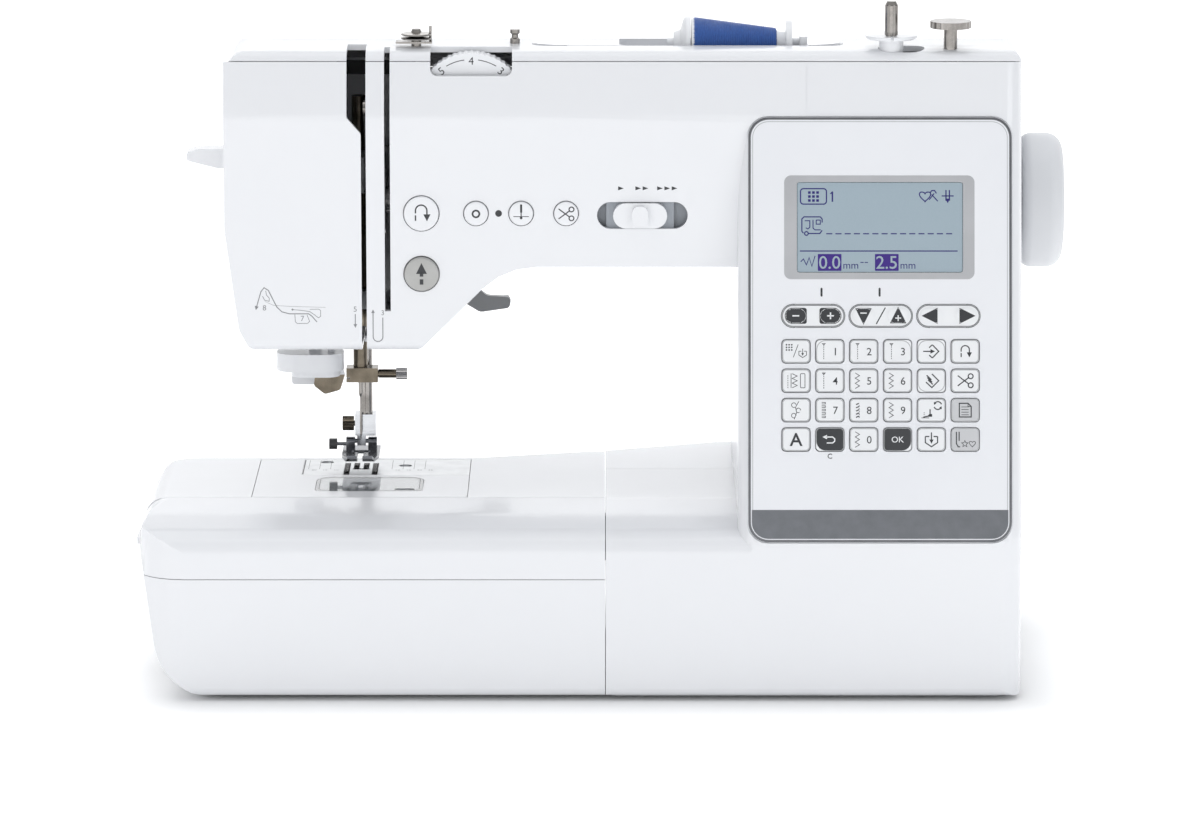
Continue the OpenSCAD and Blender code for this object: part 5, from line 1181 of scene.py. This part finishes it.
LOOP_R = 2.15
loop = Drawing(-99.9, 157.0)
bend = [on_circle(0.0, 0.0, LOOP_R, 180.0 + a) for a in range(15, 166, 15)]
loop.line([(-LOOP_R, 10.8), (-LOOP_R, 0), *bend, (LOOP_R, 0), (LOOP_R, 8.6)], 0.42)
loop.arrow_head(-LOOP_R, 11.4, 1.4, 90)
loop.text("3", LOOP_R, 10.8, 2.2)
lay("take_up_loop", loop, "front_cover", GREY_INK, HEAD_SIDE)
print("threading steps", len(steps.points) + len(loop.points), "points")

# %% Tension scale
SCALE_R, STEP_DEG, GAP_DEG = 21.3, 38.0, 8.0
dial = middle("tension_dial")
scale = Drawing(dial.x, dial.z)
for figure, step in (("3", -1), ("4", 0), ("5", 1), ("6", 2), ("2", -2)):
    at = on_circle(0.0, 0.0, SCALE_R, 90.0 + step * STEP_DEG)
    scale.text(figure, *at, 3.4, turn=step * STEP_DEG)
for i in range(-2, 2):
    start = 90.0 + STEP_DEG * i
    scale.ring(0, 0, SCALE_R + 0.6, 0.36, start + GAP_DEG, start + STEP_DEG - GAP_DEG)
lay("tension_scale", scale, "tension_dial", INK, HEAD_SIDE)
print("dial centre", round(dial.x, 1), round(dial.z, 1))

# %% [markdown]
# ## Needle plate
# The steel plate carries seam guides: fine engraved lines each way from the needle, with their
# distances. The lines are laid as dark hairlines, since a real engraving is filled with paint.
# The joints round the plate are drawn too, because they show as dark lines.

# %% Seam guides
ENGRAVED = 0.02
plate_low, plate_high = box_mm("needle_plate")
guides = Drawing()
for distance in (10, 15, 20, 25):
    for side in (-1, 1):
        x = middle("needle").x + side * (distance + 4.0)
        if plate_low.x + 2.0 < x < plate_high.x - 2.0:
            guides.line([(x, plate_high.y - 2.0), (x, plate_high.y - 22.0)], 0.18)
            guides.text(str(distance), x + 2.6, plate_high.y - 24.0, 1.7)
lay("seam_guides", guides, "needle_plate", INK, BED_SIDE, ENGRAVED)

lid = middle("bobbin_cover")
lid_size = box_mm("bobbin_cover")[1] - box_mm("bobbin_cover")[0]
window = Drawing(lid.x, lid.y)
window.line(round_box(0, 0, lid_size.x - 3, lid_size.y - 3, 4), 0.3, True)
lay("bobbin_window_line", window, "bobbin_cover", GREY_INK, BED_SIDE, ENGRAVED)

for name, node, finish, corner, inset in (("cover_joint", "plate_cover", GREY_INK, 1, -0.4),
                                          ("plate_joint", "needle_plate", INK, 0, 0.4)):
    low, high = box_mm(node)
    joint = Drawing(box_mm(node)[corner].x + inset, 0.0)
    joint.line([(0, low.y + 1), (0, high.y - 1)], 0.5)
    lay(name, joint, node, finish, BED_SIDE, ENGRAVED)
print("guides", len(guides.faces))

# %% [markdown]
# ## Speed well
# Behind the slot of the speed slide stands a shallow well, painted a grey that stands for the
# shade in the recess, so the slot reads as a recess and not as a hole. The slide's flange runs
# in front of it and wears the same painted shade.

# %% Speed well
SLOT_X, WELL_W, WELL_H = 16.9, 52.0, 17.0
WELL_Y = SLIDE_BACK + 0.4
# share of the full height and depth of the rim, two steps down to the bottom, and the back
WELL_ROWS = ((1.0, 0.0), (0.9, 0.5), (0.82, 0.8), (1.0, 1.6))


def speed_well():
    """A shallow tray with rounded ends behind the slot, open to the front."""
    slot_z = middle("speed_slider").z
    outer = round_box(0.0, 0.0, WELL_W, WELL_H, WELL_H / 2 - 0.01, 10)
    count = len(outer)
    verts = [Vector((SLOT_X + x * (0.7 + 0.3 * share), WELL_Y + depth, slot_z + z * share)) * MM
             for share, depth in WELL_ROWS for x, z in outer]
    around = [(i, (i + 1) % count) for i in range(count)]
    faces = [(a * count + i, b * count + i, b * count + j, a * count + j)
             for a, b in ((0, 1), (1, 2), (3, 0)) for i, j in around]
    faces += [range(row * count, (row + 1) * count) for row in (2, 3)]
    mesh = new_mesh("speed_well", verts, faces, WELL_PAINTED_SHADE)
    bm = bmesh.new()
    bm.from_mesh(mesh)
    bmesh.ops.recalc_face_normals(bm, faces=bm.faces)
    for face in bm.faces:
        face.smooth = len(face.verts) == 4
    bm.to_mesh(mesh)
    bm.free()
    return mounted(new_object("speed_well", mesh), "front_cover")


print("well faces", len(speed_well().data.polygons))

# %% [markdown]
# ## Seam lip
# The covers meet in a fine open seam. Moulded covers hide such a seam with a lip on the inside,
# which keeps light out of the head: without it, a bright line shows through the thread slots.
# The lip is painted dark, as painted shade for the inside of the head.

# %% Seam lip
LIP_MIDDLE, LIP_SIZE = (-104.0, 62.8, 261.3), (36.0, 0.9, 6.4)


def seam_lip():
    """A strip on the inside of the rear cover, behind its top seam, painted dark as painted shade.
    """
    mesh = new_mesh("seam_lip", [], [], SMOKE)
    size = Matrix.Diagonal([side * MM for side in LIP_SIZE] + [1.0])
    bm = bmesh.new()
    bmesh.ops.create_cube(bm, size=1.0, matrix=Matrix.Translation(Vector(LIP_MIDDLE) * MM) @ size)
    bm.to_mesh(mesh)
    bm.free()
    return mounted(new_object("seam_lip", mesh), "rear_cover")


print("seam lip faces", len(seam_lip().data.polygons))

# %% [markdown]
# ## Thread
# The spool carries about forty turns of blue thread, wound in a cone. One Geometry Nodes
# group winds it: a spiral whose radius falls along its height, with a round thread swept along.

# %% Winding group
def winding_group():
    group, given, end = new_group(
        "WINDING", {"Height": 0.03, "Big Radius": 0.01, "Small Radius": 0.006, "Turns": 40.0,
                    "Thread Radius": 0.0004, "Thread": None},
        ["Geometry"], "GeometryNodeTree", "NodeSocketGeometry")
    spiral = add_node(group, "GeometryNodeCurveSpiral",
                      {"Resolution": 22, "Rotations": given["Turns"], "Height": given["Height"],
                       "Start Radius": given["Big Radius"], "End Radius": given["Small Radius"]})
    section = add_node(group, "GeometryNodeCurvePrimitiveCircle",
                       {"Resolution": 6, "Radius": given["Thread Radius"]})
    sweep = add_node(group, "GeometryNodeCurveToMesh",
                     {"Curve": spiral.outputs["Curve"], "Fill Caps": True,
                      "Profile Curve": section.outputs["Curve"]})
    smooth = add_node(group, "GeometryNodeSetShadeSmooth", {"Geometry": sweep.outputs["Mesh"]})
    paint = add_node(group, "GeometryNodeSetMaterial",
                     {"Geometry": smooth.outputs["Geometry"], "Material": given["Thread"]})
    fill(group, end, {"Geometry": paint.outputs["Geometry"]})
    return group


# %% Wind the spool
WOUND_BIG, WOUND_SMALL, TURNS, THREAD_R = 11.22, 6.42, 44.0, 0.40


def wind(name, x0, x1):
    """Thread wound between x0 and x1 on the spool's axis, made a plain mesh."""
    tree = winding_group()
    holder = new_object(name, bpy.data.meshes.new(name))
    geometry = holder.modifiers.new("wind", "NODES")
    geometry.node_group = tree
    keys = {item.name: item.identifier for item in tree.interface.items_tree
            if item.in_out == "INPUT"}
    for label, value in {"Height": (x1 - x0) * MM, "Big Radius": WOUND_BIG * MM,
                         "Small Radius": WOUND_SMALL * MM, "Turns": TURNS,
                         "Thread Radius": THREAD_R * MM, "Thread": THREAD_BLUE}.items():
        geometry[keys[label]] = value
    obj = as_plain_mesh(holder, name)
    axis = middle("thread_spool")
    along = Matrix.Rotation(math.radians(90.0), 4, "Y")
    obj.data.transform(Matrix.Translation(Vector((x0, axis.y, axis.z)) * MM) @ along)
    return mounted(obj, "thread_spool")


winding = wind("winding", WOUND_X0 + 1.6, WOUND_X1 - 0.6)
print("winding", len(winding.data.polygons), "faces")
